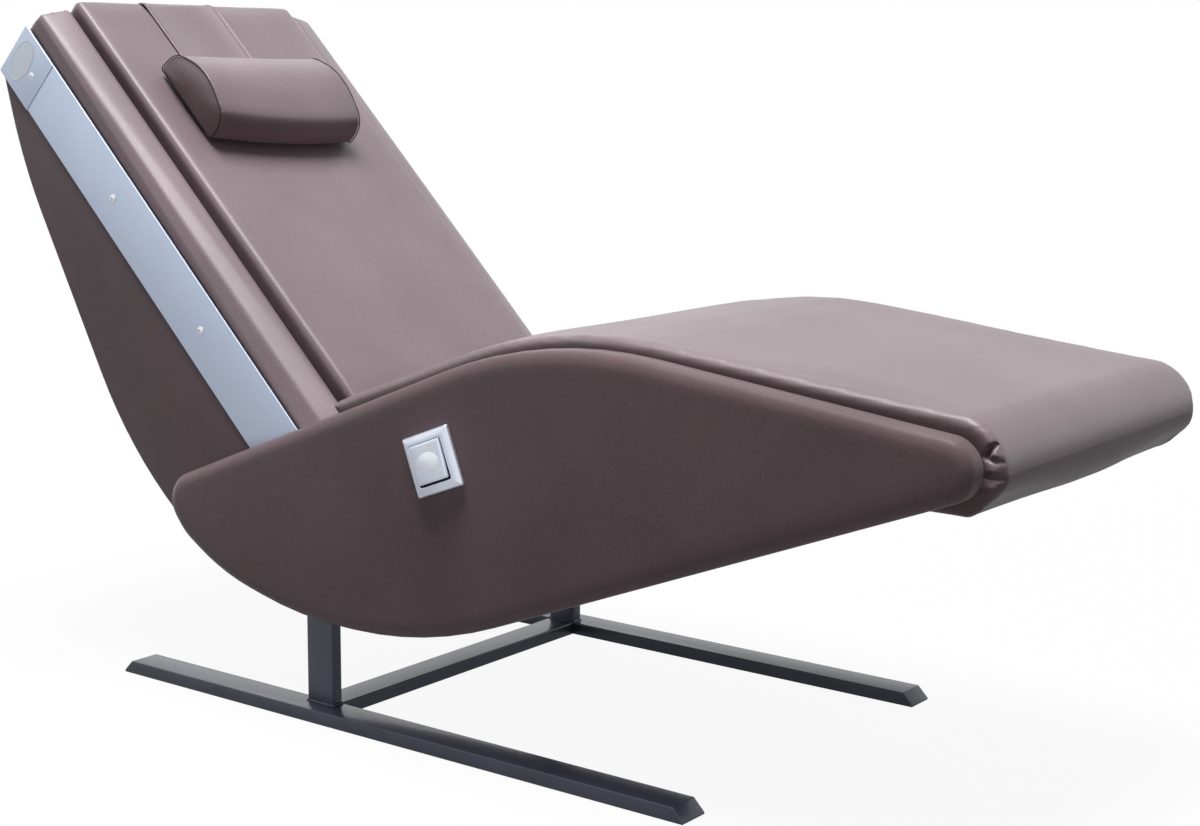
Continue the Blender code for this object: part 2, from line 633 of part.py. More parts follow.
def make_switch():
    """Frame, insert and rocker, drawn with X along the panel, Y up it and Z out of it."""
    turn = Matrix.Rotation(-SWITCH_TURN, 4, "Y") @ Matrix.Rotation(pi / 2, 4, "X")
    axes = bpy.data.objects.new("switch_axes", None)
    parts.objects.link(axes)
    place(axes, (SWITCH_X, -PANEL_OUTER_Y, SWITCH_Z), turn)
    half = SWITCH_FRAME / 2
    window = ROCKER / 2 + ROCKER_PLAY
    frame = block("switch_frame", (-half, -half, GAP), (half, half, GAP + SWITCH_FRAME_DEPTH), SILVER, axes)
    frame_bevel(frame, half)
    combine(frame, block("rocker_window", (-window, -window, -1), (window, window, 1), STEEL, axes))
    pivot = GAP + SWITCH_FRAME_DEPTH + ROCKER_PROUD - ROCKER_PLATE - 0.004
    insert = turned("switch_insert", rod_profile(SWITCH_BOX_RADIUS, SWITCH_BOX_DEPTH), BLACK,
                    (0, 0, -SWITCH_BOX_DEPTH / 2 - GAP), None, axes, steps=32)
    for name, sign in (("left", -1), ("right", 1)):
        low, high = sorted((sign * (window - 0.0006), sign * (window - 0.0036)))
        ear = block("insert_ear_" + name, (low, -0.005, -0.004), (high, 0.005, pivot + 0.0032), BLACK, axes)
        combine(insert, ear, "UNION")
    sockets = turned("rocker_sockets", bore_profile(ROCKER_PIN_RADIUS + 0.0003, 2 * window), BLACK, (0, 0, pivot),
                     Matrix.Rotation(pi / 2, 4, "Y"), axes, steps=16)
    combine(insert, sockets)
    top = ROCKER_PLATE + 0.004
    rocker = block("switch_rocker", (-ROCKER / 2, -ROCKER / 2, top - ROCKER_PLATE), (ROCKER / 2, ROCKER / 2, top),
                   SILVER, edge=0.0008)
    rocker.data.transform(Matrix.Translation((0, 0, top - ROCKER_PLATE / 2)))
    place(rocker, (0, 0, pivot), Matrix.Rotation(-ROCKER_TILT, 4, "X"), axes)
    web = block("rocker_web", (-0.0235, -0.004, -0.0022), (0.0235, 0.004, top - 0.001), SILVER)
    pins = turned("rocker_pins", rod_profile(ROCKER_PIN_RADIUS, 2 * (window - 0.0010)), SILVER,
                  (0, 0, 0), Matrix.Rotation(pi / 2, 4, "Y"), steps=16)
    for tool in (web, pins):
        place(tool, (0, 0, pivot), Matrix.Rotation(-ROCKER_TILT, 4, "X") @ tool.matrix_basis, axes)
        combine(rocker, tool, "UNION")


def frame_bevel(frame, half):
    """Draws in the frame's front so that its four sides slope."""
    for vertex in frame.data.vertices:
        if vertex.co.z > 0:
            vertex.co.x -= SWITCH_FRAME_SLOPE * (1 if vertex.co.x > 0 else -1)
            vertex.co.y -= SWITCH_FRAME_SLOPE * (1 if vertex.co.y > 0 else -1)
    soften(frame, 0.002, 2)


def strap_path():
    """From under the pillow over the head end, then straight down behind it."""
    over = BACK_LENGTH + BACK_OVERHANG + GAP
    front = BACK_CUSHION_OUT + GAP
    corner = Vector(on_back(over, TUB_BACK_OUT - 0.004))
    low_up = BACK_LENGTH - PILLOW_BELOW - PILLOW_HEIGHT + STRAP_TUCK
    corners = [(*on_back(low_up, front), 0), (*on_back(over, front), BACK_ROUND),
               (*corner, 0.004), (corner.x, corner.y - STRAP_DROP, 0)]
    return rounded(corners, closed=False, turn_step=radians(20))


def make_headrest():
    path = strap_path()
    bent_sheet("headrest_strap", path, STRAP_WIDTH / 2, STRAP, LEATHER, left=False, centre_y=PILLOW_Y)
    seat = BACK_CUSHION_OUT + STRAP + 2 * GAP
    low = PILLOW_BELOW - BACK_LENGTH
    high = low + PILLOW_HEIGHT
    middle = (low + high) / 2
    section = rounded([(low, seat, PILLOW_EDGES[0]),
                       (low + PILLOW_BROW[0], seat + PILLOW_THICK * PILLOW_BROW[1], PILLOW_BROW[2]),
                       (middle, seat + PILLOW_THICK * PILLOW_CREST[0], PILLOW_CREST[1]),
                       (high - PILLOW_CHIN[0], seat + PILLOW_THICK * PILLOW_CHIN[1], PILLOW_CHIN[2]),
                       (high, seat, PILLOW_EDGES[1])], turn_step=radians(18))
    pillow = profile_plate("headrest_pillow", [(p.x, p.y) for p in section], PILLOW_Y - PILLOW_WIDTH / 2,
                           PILLOW_Y + PILLOW_WIDTH / 2, LEATHER, 0.006)
    pillow.parent = back_axes
    depth, width, height = POUCH_SIZE
    corner = path[-1]
    top = corner.y + STRAP_DROP - POUCH_DROP
    rear = corner.x - STRAP - GAP
    block("headrest_counterweight", (rear - depth, PILLOW_Y - width / 2, top - height),
          (rear, PILLOW_Y + width / 2, top), LEATHER_DARK, edge=0.006, segments=2)


def make_drive():
    """Guide rods, cross rails, lead screw and gear motor, along the incline."""
    along = Matrix.Rotation(-pi / 2, 4, "Y")
    half_long, half_deep = CROSS_RAIL[0] / 2, CROSS_RAIL[1] / 2
    rail_edge = RAIL_INNER_Y - GAP
    for label, up, toward in (("lower", CROSS_RAIL_LOW_UP, 1), ("upper", CROSS_RAIL_HIGH_UP, -1)):
        rail = block("cross_rail_" + label, (-up - half_long, -rail_edge, ROD_OUT - half_deep),
                     (half_long - up, rail_edge, ROD_OUT + half_deep), BOARD, back_axes)
        for name, side in SIDES:
            bore = turned(f"rod_seat_{label}_{name}", bore_profile(ROD_RADIUS + GAP, 2 * half_long), STEEL,
                          (-up - toward * half_long / 2, side * ROD_Y, ROD_OUT), along, back_axes)
            combine(rail, bore)
        seat = turned("bearing_seat_" + label, bore_profile(BEARING_RADIUS + GAP, 2 * BEARING_WIDTH), STEEL,
                      (-up - toward * half_long, 0, ROD_OUT), along, back_axes)
        combine(rail, seat)
        combine(rail, turned("screw_way_" + label, bore_profile(SCREW_RADIUS + 0.001, 4 * half_long), STEEL,
                             (-up, 0, ROD_OUT), along, back_axes))
        race = ring_profile(BEARING_RADIUS, SCREW_RADIUS + RUN, BEARING_WIDTH - GAP)
        turned("screw_bearing_" + label, race, BRIGHT, (-up - toward * (half_long - BEARING_WIDTH / 2), 0, ROD_OUT),
               along, back_axes, steps=32, ring=True)
    low = CROSS_RAIL_LOW_UP + GAP
    high = CROSS_RAIL_HIGH_UP - GAP
    for label, side in SIDES:
        turned("guide_rod_" + label, rod_profile(ROD_RADIUS, high - low), BRIGHT,
               (-(low + high) / 2, side * ROD_Y, ROD_OUT), along, back_axes)
    screw_high = CROSS_RAIL_HIGH_UP + half_long
    turned("lead_screw", rod_profile(SCREW_RADIUS, screw_high - SCREW_LOW_UP), BRIGHT,
           (-(screw_high + SCREW_LOW_UP) / 2, 0, ROD_OUT), along, back_axes)
    top = CROSS_RAIL_LOW_UP - half_long - GAP
    bore = SCREW_RADIUS + RUN
    motor = [(0, SCREW_LOW_UP - GAP - top), (bore, SCREW_LOW_UP - GAP - top), (bore, 0), (GEARBOX_RADIUS, 0),
             (GEARBOX_RADIUS, -GEARBOX), (MOTOR_RADIUS, -GEARBOX), (MOTOR_RADIUS, -GEARBOX - MOTOR),
             (0, -GEARBOX - MOTOR)]
    turned("gear_motor", motor, BLACK, (-top, 0, ROD_OUT), along, back_axes)


def make_carriage():
    along = Matrix.Rotation(-pi / 2, 4, "Y")
    across = Matrix.Rotation(pi / 2, 4, "X")
    axes = bpy.data.objects.new("carriage_axes", None)
    parts.objects.link(axes)
    place(axes, (-CARRIAGE_UP, 0, 0), parent=back_axes)
    block_half = BUSH_BLOCK / 2
    plate_top = CARRIAGE_PLATE_OUT + CARRIAGE_PLATE
    edge_y = ROD_Y + block_half + SINK
    frame = block("carriage_frame", (-CARRIAGE_HALF, -edge_y, CARRIAGE_PLATE_OUT), (CARRIAGE_HALF, edge_y, plate_top),
                  STEEL, axes)
    bush_x = CARRIAGE_HALF - BUSH_LENGTH / 2
    for label, side in SIDES:
        for end, sign in (("head", -1), ("foot", 1)):
            low = (sign * bush_x - BUSH_LENGTH / 2, side * ROD_Y - block_half, plate_top - SINK)
            high = (sign * bush_x + BUSH_LENGTH / 2, side * ROD_Y + block_half, ROD_OUT + block_half)
            combine(frame, block(f"bush_block_{label}_{end}", low, high, STEEL, axes), "UNION")
    combine(frame, block("nut_block", (-NUT_BLOCK / 2, -NUT_BLOCK / 2, plate_top - SINK),
                         (NUT_BLOCK / 2, NUT_BLOCK / 2, ROD_OUT + NUT_BLOCK / 2), STEEL, axes), "UNION")
    lug_y = ROLLER_Y + ROLLER_WIDTH / 2 + LUG_PLAY
    for label, side in SIDES:
        for end, sign in (("head", -1), ("foot", 1)):
            low_y, high_y = sorted((side * lug_y, side * (lug_y + AXLE_LUG)))
            combine(frame, block(f"axle_lug_{label}_{end}", (sign * ROLLER_UP - LUG_HALF, low_y, plate_top - SINK),
                                 (sign * ROLLER_UP + LUG_HALF, high_y, ROLLER_OUT + LUG_HALF), STEEL, axes), "UNION")
    for end, sign in (("head", -1), ("foot", 1)):
        spot = (sign * ROLLER_UP, 0, ROLLER_OUT)
        seat = turned("axle_seat_" + end, bore_profile(AXLE_RADIUS + GAP, 4 * lug_y), STEEL, spot, across, axes)
        combine(frame, seat)
        turned("roller_axle_" + end, rod_profile(AXLE_RADIUS, 2 * (lug_y + AXLE_LUG)), BRIGHT, spot, across, axes)
        for label, side in SIDES:
            half = ROLLER_WIDTH / 2
            rim = [(ROLLER_RADIUS * 0.62, half), (ROLLER_RADIUS * 0.9, half * 0.78), (ROLLER_RADIUS, half * 0.35),
                   (ROLLER_RADIUS, -half * 0.35), (ROLLER_RADIUS * 0.9, -half * 0.78), (ROLLER_RADIUS * 0.62, -half),
                   (AXLE_RADIUS + RUN, -half), (AXLE_RADIUS + RUN, half)]
            turned(f"massage_roller_{label}_{end}", rim, RUBBER, (spot[0], side * ROLLER_Y, spot[2]), across, axes,
                   steps=32, ring=True)
    for label, side in SIDES:
        bore = turned("bush_bore_" + label, bore_profile(BUSH_RADIUS + GAP, 4 * CARRIAGE_HALF), STEEL,
                      (0, side * ROD_Y, ROD_OUT), along, axes)
        combine(frame, bore)
        for end, sign in (("head", -1), ("foot", 1)):
            turned(f"guide_bush_{label}_{end}", ring_profile(BUSH_RADIUS, ROD_RADIUS + RUN, BUSH_LENGTH), BRONZE,
                   (sign * bush_x, side * ROD_Y, ROD_OUT), along, axes, steps=32, ring=True)
    combine(frame, turned("nut_bore", bore_profile(NUT_RADIUS + GAP, 4 * NUT_LENGTH), STEEL, (0, 0, ROD_OUT), along,
                          axes))
    sleeve = ring_profile(NUT_RADIUS, SCREW_RADIUS + RUN, NUT_LENGTH)
    turned("travel_nut", sleeve, BRONZE, (0, 0, ROD_OUT), along, axes, steps=32, ring=True)


def make_electrics():
    floor = TUB_FLOOR_Z + SHELL + GAP
    length, width, height = SUPPLY_SIZE
    block("power_supply", (SUPPLY_X - length / 2, SUPPLY_Y - width / 2, floor),
          (SUPPLY_X + length / 2, SUPPLY_Y + width / 2, floor + height), BLACK, edge=0.003)
    under = TUB_FLOOR_Z - GAP
    flange = [v / 2 for v in INLET_FLANGE[:2]]
    body = [v / 2 for v in INLET_BODY[:2]]
    socket = [v / 2 for v in INLET_SOCKET[:2]]
    face = under - INLET_FLANGE[2]
    inlet = block("mains_inlet", (INLET_X - flange[0], INLET_Y - flange[1], face),
                  (INLET_X + flange[0], INLET_Y + flange[1], under), BLACK)
    combine(inlet, block("inlet_body", (INLET_X - body[0], INLET_Y - body[1], (face + under) / 2),
                         (INLET_X + body[0], INLET_Y + body[1], under + INLET_BODY[2]), BLACK), "UNION")
    combine(inlet, block("inlet_socket", (INLET_X - socket[0], INLET_Y - socket[1], 0),
                         (INLET_X + socket[0], INLET_Y + socket[1], face + INLET_SOCKET[2]), BLACK))


make_base()
make_tub()
make_slats()
make_seat_cushion()
make_back_upholstery()
make_panels()
make_trim()
make_switch()
make_headrest()
make_drive()
make_carriage()
make_electrics()
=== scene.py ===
# Massage lounger: leather tub and cushions, sliding headrest, trim, wall switch and a flat steel base.
# Metres. X runs from head to foot, -Y is the switch side, Z is up.
import bpy
import bmesh
import json
from math import ceil, cos, exp, pi, radians, sin, sqrt, tan
from mathutils import Matrix, Vector, noise

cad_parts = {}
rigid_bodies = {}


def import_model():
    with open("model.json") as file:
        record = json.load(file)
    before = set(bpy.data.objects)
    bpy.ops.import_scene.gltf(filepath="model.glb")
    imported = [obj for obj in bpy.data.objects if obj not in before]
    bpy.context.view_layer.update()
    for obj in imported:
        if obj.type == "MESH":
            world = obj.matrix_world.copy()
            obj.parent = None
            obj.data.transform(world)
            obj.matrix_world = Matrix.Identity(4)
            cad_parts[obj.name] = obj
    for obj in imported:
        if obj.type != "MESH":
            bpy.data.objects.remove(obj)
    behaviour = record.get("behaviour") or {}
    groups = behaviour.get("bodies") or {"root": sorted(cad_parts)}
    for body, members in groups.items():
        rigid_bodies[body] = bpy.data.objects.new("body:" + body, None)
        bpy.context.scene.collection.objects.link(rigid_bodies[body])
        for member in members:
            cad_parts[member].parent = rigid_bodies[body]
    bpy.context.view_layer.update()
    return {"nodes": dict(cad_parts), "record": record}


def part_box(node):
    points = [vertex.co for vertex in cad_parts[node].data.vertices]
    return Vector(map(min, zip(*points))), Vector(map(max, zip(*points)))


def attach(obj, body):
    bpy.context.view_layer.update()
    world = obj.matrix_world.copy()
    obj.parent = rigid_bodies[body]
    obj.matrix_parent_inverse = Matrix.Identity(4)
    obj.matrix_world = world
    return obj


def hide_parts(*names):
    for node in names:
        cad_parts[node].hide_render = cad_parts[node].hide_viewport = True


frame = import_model()
scene = bpy.context.scene
scene.view_settings.view_transform = "Standard"
nearSide, farSide = -1, 1
sides = (("Near", "near", nearSide), ("Far", "far", farSide))

# The back's own frame: "up" runs up the incline from the origin, "out" stands square to it.
backAngle = radians(44.8)


def onBack(up, out, y=0.0):
    lean, rise = cos(backAngle), sin(backAngle)
    return Vector((out * rise - up * lean, y, up * rise + out * lean))


def backPlace(spot):
    # the same frame the other way round: a place's up and out
    lean, rise = cos(backAngle), sin(backAngle)
    return spot.z * rise - spot.x * lean, spot.x * rise + spot.z * lean


def ease(low, high, value):
    share = min(1.0, max(0.0, (value - low) / (high - low)))
    return share * share * (3 - 2 * share)


# Node helpers. A socket takes either a value or another node's output.
def fill(tree, socket, value):
    if isinstance(value, bpy.types.NodeSocket):
        tree.links.new(value, socket)
    elif socket.type == "RGBA" and len(value) == 3:
        socket.default_value = (*value, 1)
    else:
        socket.default_value = value


def addNode(tree, kind, settings=None, **inputs):
    # an input is named, with _ for a space, or numbered as n0, n1 and so on
    node = tree.nodes.new("ShaderNode" + kind)
    for key, value in (settings or {}).items():
        setattr(node, key, value)
    for key, value in inputs.items():
        numbered = key[0] == "n" and key[1:].isdigit()
        fill(tree, node.inputs[int(key[1:]) if numbered else key.replace("_", " ")], value)
    return node


def newMaterial(name, **values):
    made = bpy.data.materials.new(name)
    made.use_nodes = True
    shader = made.node_tree.nodes["Principled BSDF"]
    for key, value in values.items():
        shader.inputs[key.replace("_", " ")].default_value = value
    return made, made.node_tree, shader


def math(tree, operation, *values):
    inputs = {f"n{number}": value for number, value in enumerate(values)}
    return addNode(tree, "Math", {"operation": operation}, **inputs).outputs[0]


def noiseOver(tree, place, scale, detail, **more):
    return addNode(tree, "TexNoise", None, Vector=place, Scale=scale, Detail=detail, **more).outputs["Fac"]


def colourBetween(tree, share, first, second, blend="MIX"):
    settings = {"data_type": "RGBA", "blend_type": blend}
    return addNode(tree, "Mix", settings, Factor=share, n6=first, n7=second).outputs[2]


def shades(colour, less, more):
    return tuple(c * (1 - less) for c in colour), tuple(c * (1 + more) for c in colour)


def spread(tree, value, low, high, newLow=0.0, newHigh=1.0):
    ends = {"From_Min": low, "From_Max": high, "To_Min": newLow, "To_Max": newHigh}
    return addNode(tree, "MapRange", None, Value=value, **ends).outputs["Result"]


def bump(tree, height, depth, strength=1.0, under=None):
    node = addNode(tree, "Bump", None, Strength=strength, Distance=depth, Height=height)
    if under:
        tree.links.new(under, node.inputs["Normal"])
    return node.outputs["Normal"]


leatherLook = {
    "cushion": (0.250, 0.184, 0.204),       # tops of the cushions and the headrest
    # the side colour is the same leather painted darker: painted shade for upright and hanging faces, and for
    # the tub and side panels
    "side": (0.190, 0.130, 0.144),          # side panels and tub
    "grainSize": 0.0011,
    "grainDepth": 0.00010,
    "creaseDepth": 0.0004,
    "roughness": 0.41,
    "cushionGloss": 0.80,
    "sideGloss": 0.22,
    # normal heights over which the painted light goes from the darker side colour to the top colour
    "paintedLightFacing": (-0.02, 0.26),
    "sheen": 0.26,
}


def makeLeather(name, part, look):
    # painted light: faces that look up take the lighter top colour, upright and hanging faces the darker side
    # colour as painted shade; the gloss level follows the same facing
    colour, gloss = look[part], look[part + "Gloss"]
    made, tree, shader = newMaterial(name, Sheen_Weight=look["sheen"], Sheen_Roughness=0.45)
    geometry = addNode(tree, "NewGeometry")
    facing = addNode(tree, "SeparateXYZ", None, n0=geometry.outputs["Normal"]).outputs["Z"]
    # painted light: share of the top colour, growing as the face turns up
    paintedLightShare = spread(tree, facing, *look["paintedLightFacing"])
    level = spread(tree, facing, *look["paintedLightFacing"], look["sideGloss"], gloss)
    fill(tree, shader.inputs["Specular IOR Level"], level)
    place = addNode(tree, "TexCoord").outputs["Object"]
    size, depth = look["grainSize"], look["grainDepth"]
    cells = addNode(tree, "TexVoronoi", {"feature": "DISTANCE_TO_EDGE"}, Vector=place, Scale=1 / size,
                    Randomness=0.95)
    fine = noiseOver(tree, place, 1.4 / size, 3.0)
    cloud = noiseOver(tree, place, 5.0, 4.0, Roughness=0.55)
    crease = noiseOver(tree, place, 9.0, 2.0, Distortion=0.6)
    mottle = noiseOver(tree, place, 260.0, 4.0, Roughness=0.7)
    both = math(tree, "ADD", cloud, math(tree, "MULTIPLY_ADD", mottle, 0.8, -0.4))
    share = spread(tree, both, 0.32, 0.68)
    side, top = (colourBetween(tree, share, *shades(base, 0.12, 0.12)) for base in (look["side"], colour))
    # painted light and shade: top colour on faces that look up, darker side colour on the rest
    tone = colourBetween(tree, paintedLightShare, side, top)
    specks = colourBetween(tree, spread(tree, fine, 0.3, 0.7), (0.62, 0.60, 0.60), (1.3, 1.3, 1.32))
    speckled = colourBetween(tree, 0.35, tone, specks, "MULTIPLY")
    paleEdge = tuple(min(1.0, c * 1.9) for c in colour)
    rubbed = spread(tree, geometry.outputs["Pointiness"], 0.52, 0.60, 0.0, 0.22)
    fill(tree, shader.inputs["Base Color"], colourBetween(tree, rubbed, speckled, paleEdge))
    rough = look["roughness"]
    fill(tree, shader.inputs["Roughness"], spread(tree, fine, 0.25, 0.75, rough - 0.07, rough + 0.09))
    waves = bump(tree, crease, look["creaseDepth"], 0.35)
    pores = bump(tree, spread(tree, cells.outputs["Distance"], 0.0, 0.35), depth, 0.55, waves)
    fill(tree, shader.inputs["Normal"], bump(tree, fine, depth * 0.7, 0.5, pores))
    return made


cushionLeather = makeLeather("brownLeatherTop", "cushion", leatherLook)
# the side copy is the same leather painted darker throughout, as painted shade on the tub and side panels
shadedSideLeather = makeLeather("brownLeatherPaintedShade", "side", leatherLook)


def makeBrushed(name, colour, roughness, metallic=1.0, streak=0.12, depth=0.00004):
    made, tree, shader = newMaterial(name, Metallic=metallic)
    place = addNode(tree, "TexCoord").outputs["Object"]
    drawn = addNode(tree, "Mapping", None, Vector=place, Scale=(25, 1400, 1400)).outputs["Vector"]
    lines = noiseOver(tree, drawn, 1.0, 3.0)
    cloud = noiseOver(tree, place, 14.0, 3.0)
    tone = colourBetween(tree, spread(tree, lines, 0.3, 0.7), *shades(colour, streak, streak))
    fill(tree, shader.inputs["Base Color"], tone)
    fill(tree, shader.inputs["Roughness"], spread(tree, cloud, 0.3, 0.7, roughness - 0.05, roughness + 0.06))
    fill(tree, shader.inputs["Normal"], bump(tree, lines, depth, 0.4))
    return made


def makePowderCoat(name, colour, roughness, coat=0.0, metallic=0.0, depth=0.00006):
    made, tree, shader = newMaterial(name, Coat_Weight=coat, Coat_Roughness=0.12, Metallic=metallic)
    place = addNode(tree, "TexCoord").outputs["Object"]
    peel = noiseOver(tree, place, 420.0, 2.0)
    cloud = noiseOver(tree, place, 11.0, 3.0)
    tone = colourBetween(tree, spread(tree, cloud, 0.35, 0.65), *shades(colour, 0.12, 0.14))
    # pointy edges get a paler, lighter colour
    edge = addNode(tree, "NewGeometry").outputs["Pointiness"]
    paleEdge = tuple(min(1.0, c * 3 + 0.05) for c in colour)
    fill(tree, shader.inputs["Base Color"],
         colourBetween(tree, spread(tree, edge, 0.54, 0.66, 0.0, 0.35), tone, paleEdge))
    fill(tree, shader.inputs["Roughness"], spread(tree, peel, 0.3, 0.7, roughness - 0.04, roughness + 0.05))
    fill(tree, shader.inputs["Normal"], bump(tree, peel, depth, 0.35))
    return made


def makePlywood(name):
    made, tree, shader = newMaterial(name, Roughness=0.65)
    place = addNode(tree, "TexCoord").outputs["Object"]
    drawn = addNode(tree, "Mapping", None, Vector=place, Scale=(3, 26, 60)).outputs["Vector"]
    rings = noiseOver(tree, drawn, 1.5, 5.0)
    tone = colourBetween(tree, spread(tree, rings, 0.35, 0.65), (0.42, 0.27, 0.14), (0.68, 0.50, 0.31))
    fill(tree, shader.inputs["Base Color"], tone)
    fill(tree, shader.inputs["Normal"], bump(tree, rings, 0.0003, 0.4))
    return made


finishes = {
    "base_steel": makePowderCoat("anthraciteCoat", (0.058, 0.067, 0.098), 0.32, coat=0.25, metallic=0.35),
    "leather": cushionLeather,
    "leather_side": shadedSideLeather,
    "board": makePlywood("plywood"),
    "aluminium": makeBrushed("anodisedAluminium", (0.58, 0.66, 0.81), 0.50, metallic=0.8, streak=0.02,
                             depth=0.00001),
    "bright_steel": makeBrushed("brightSteel", (0.80, 0.81, 0.82), 0.20, streak=0.03, depth=0.00001),
    "silver_plastic": makePowderCoat("silverPlastic", (0.76, 0.81, 0.93), 0.28, coat=0.1, metallic=0.75,
                                     depth=0.00001),
    "black_plastic": makePowderCoat("blackPlastic", (0.02, 0.02, 0.022), 0.45),
    "bronze": makeBrushed("bronze", (0.52, 0.34, 0.15), 0.32),
    "roller_rubber": makePowderCoat("rollerRubber", (0.05, 0.05, 0.055), 0.62, depth=0.0002),
}
thread = makePowderCoat("brownThread", (0.30, 0.24, 0.25), 0.6)
# near-black finish for the cords in the pillow's end seams: painted shade in the seam's groove
paintedSeamShade = makePowderCoat("paintedSeamShadeCord", (0.016, 0.011, 0.012), 0.7)
badgeSatin = makeBrushed("badgeSatin", (0.56, 0.61, 0.68), 0.34, metallic=0.8, streak=0.03, depth=0.00001)
ovalSatin = makePowderCoat("ovalSatin", (0.76, 0.79, 0.86), 0.42, metallic=0.9)
for row in frame["record"]["subparts"]:
    node = frame["nodes"][row["node"]]
    node.data.materials.clear()
    node.data.materials.append(finishes[row["material_slot"]])
print("materials done")


# Camera, floor and light
cameraSettings = {
    "spot": (2.0308, -2.3388, 0.9461), "lens": 61.115,
    "yaw": 36.7656, "pitch": 9.8218, "roll": 0.463,                 # degrees
}


def makeCamera(values):
    yaw, pitch, roll = (radians(values[key]) for key in ("yaw", "pitch", "roll"))
    forward = Vector((-sin(yaw) * cos(pitch), cos(yaw) * cos(pitch), -sin(pitch)))
    right = Vector((cos(yaw), sin(yaw), 0))
    upward = right.cross(forward)
    across = right * cos(roll) + upward * sin(roll)
    upright = upward * cos(roll) - right * sin(roll)
    data = bpy.data.cameras.new("camera")
    data.lens = values["lens"]
    data.sensor_width = 36
    made = bpy.data.objects.new("camera", data)
    scene.collection.objects.link(made)
    turn = Matrix((across, upright, -forward)).transposed().to_4x4()
    made.matrix_world = Matrix.Translation(values["spot"]) @ turn
    scene.camera = made


stageSettings = {
    "size": 14.0, "middle": (0.3, 0, -0.0004),
    "seenColour": (0.90, 0.90, 0.90), "bounceColour": (0.20, 0.20, 0.20), "floorMirrored": 0.35,
    "fade": (1.0, 3.0), "glow": (0.93, 1.0),            # distance from the middle, and the floor's glow there
    "worldColour": (0.93, 0.96, 1.0), "worldStrength": 0.085,
}


def rayShare(tree, mirrored=1.0):
    # 1 for what the camera or a glass sees, 0 for light that falls on the object, and the given share
    # for what is mirrored
    path = addNode(tree, "LightPath").outputs
    glossy = math(tree, "MULTIPLY", path["Is Glossy Ray"], mirrored)
    seen = math(tree, "MAXIMUM", path["Is Camera Ray"], glossy)
    return math(tree, "MAXIMUM", seen, path["Is Transmission Ray"])


def makeStage(values):
    half = values["size"] / 2
    data = bpy.data.meshes.new("studioFloor")
    corners = [(-half, -half, 0), (half, -half, 0), (half, half, 0), (-half, half, 0)]
    data.from_pydata(corners, [], [(0, 1, 2, 3)])
    floor = bpy.data.objects.new("studioFloor", data)
    floor.location = values["middle"]
    scene.collection.objects.link(floor)
    made, tree, shader = newMaterial("paleFloor", Roughness=0.9, Specular_IOR_Level=0.1)
    seen = rayShare(tree, values["floorMirrored"])
    tone = colourBetween(tree, seen, values["bounceColour"], values["seenColour"])
    fill(tree, shader.inputs["Base Color"], tone)
    place = addNode(tree, "TexCoord").outputs["Object"]
    away = addNode(tree, "VectorMath", {"operation": "LENGTH"}, n0=place).outputs["Value"]
    glowShare = spread(tree, away, *values["fade"], *values["glow"])
    glow = addNode(tree, "Emission", None, Color=(1, 1, 1), Strength=1.0)
    mixed = addNode(tree, "MixShader", None, Fac=math(tree, "MULTIPLY", seen, glowShare),
                    n1=shader.outputs[0], n2=glow.outputs[0])
    tree.links.new(mixed.outputs[0], tree.nodes["Material Output"].inputs["Surface"])
    data.materials.append(made)
    world = bpy.data.worlds.new("studio")
    scene.world = world
    world.use_nodes = True
    tree = world.node_tree
    base = tree.nodes["Background"]
    base.inputs["Color"].default_value = (*values["worldColour"], 1)
    base.inputs["Strength"].default_value = values["worldStrength"]
    white = addNode(tree, "Background", None, Color=(1, 1, 1), Strength=1.0)
    mixed = addNode(tree, "MixShader", None, Fac=rayShare(tree), n1=base.outputs[0], n2=white.outputs[0])
    tree.links.new(mixed.outputs[0], tree.nodes["World Output"].inputs["Surface"])


lamps = {                       # spot, target, size, watts, colour
    "keyLamp": ((0.20, -0.90, 8.0), (0.3, 0.0, 0.5), 3.4, 660, (1.0, 0.985, 0.985)),
    "fillLamp": ((-2.2, 2.2, 2.4), (0.1, 0.0, 0.5), 2.0, 10, (0.95, 0.97, 1.0)),
}


def makeLamp(name, spot, target, size, power, colour):
    data = bpy.data.lights.new(name, "AREA")
    data.shape = "SQUARE"
    data.size = size
    data.energy = power
    data.color = colour
    made = bpy.data.objects.new(name, data)
    made.location = spot
    made.rotation_euler = (Vector(target) - Vector(spot)).to_track_quat("-Z", "Y").to_euler()
    scene.collection.objects.link(made)


makeCamera(cameraSettings)
makeStage(stageSettings)
for name, values in lamps.items():
    makeLamp(name, *values)
print("camera, floor and lamps done")


# Shape helpers
def rounded(corners, closed=True, turnStep=radians(6)):
    # corners are (x, z, radius): straight lines joined by arcs
    points = []
    count = len(corners)
    for i, (x, z, radius) in enumerate(corners):
        here = Vector((x, z))
        if radius == 0 or (not closed and i in (0, count - 1)):
            points.append(here)
            continue
        before = (Vector(corners[i - 1][:2]) - here).normalized()
        after = (Vector(corners[(i + 1) % count][:2]) - here).normalized()
        opening = before.angle(after)
        reach = radius / tan(opening / 2)
        centre = here + (before + after).normalized() * radius / sin(opening / 2)
        start = here + before * reach - centre
        sweep = start.angle_signed(here + after * reach - centre)
        steps = max(2, ceil(abs(sweep) / turnStep))
        for k in range(steps + 1):
            spot = start.copy()
            spot.rotate(Matrix.Rotation(-sweep * k / steps, 2))
            points.append(centre + spot)
    return points


def evenly(points, gap, closed=True):
    # the same line with points about one gap apart
    ring = points + [points[0]] if closed else points
    spots = []
    for a, b in zip(ring, ring[1:]):
        steps = max(1, ceil((b - a).length / gap))
        spots += [a.lerp(b, k / steps) for k in range(steps)]
    return spots if closed else spots + [ring[-1]]


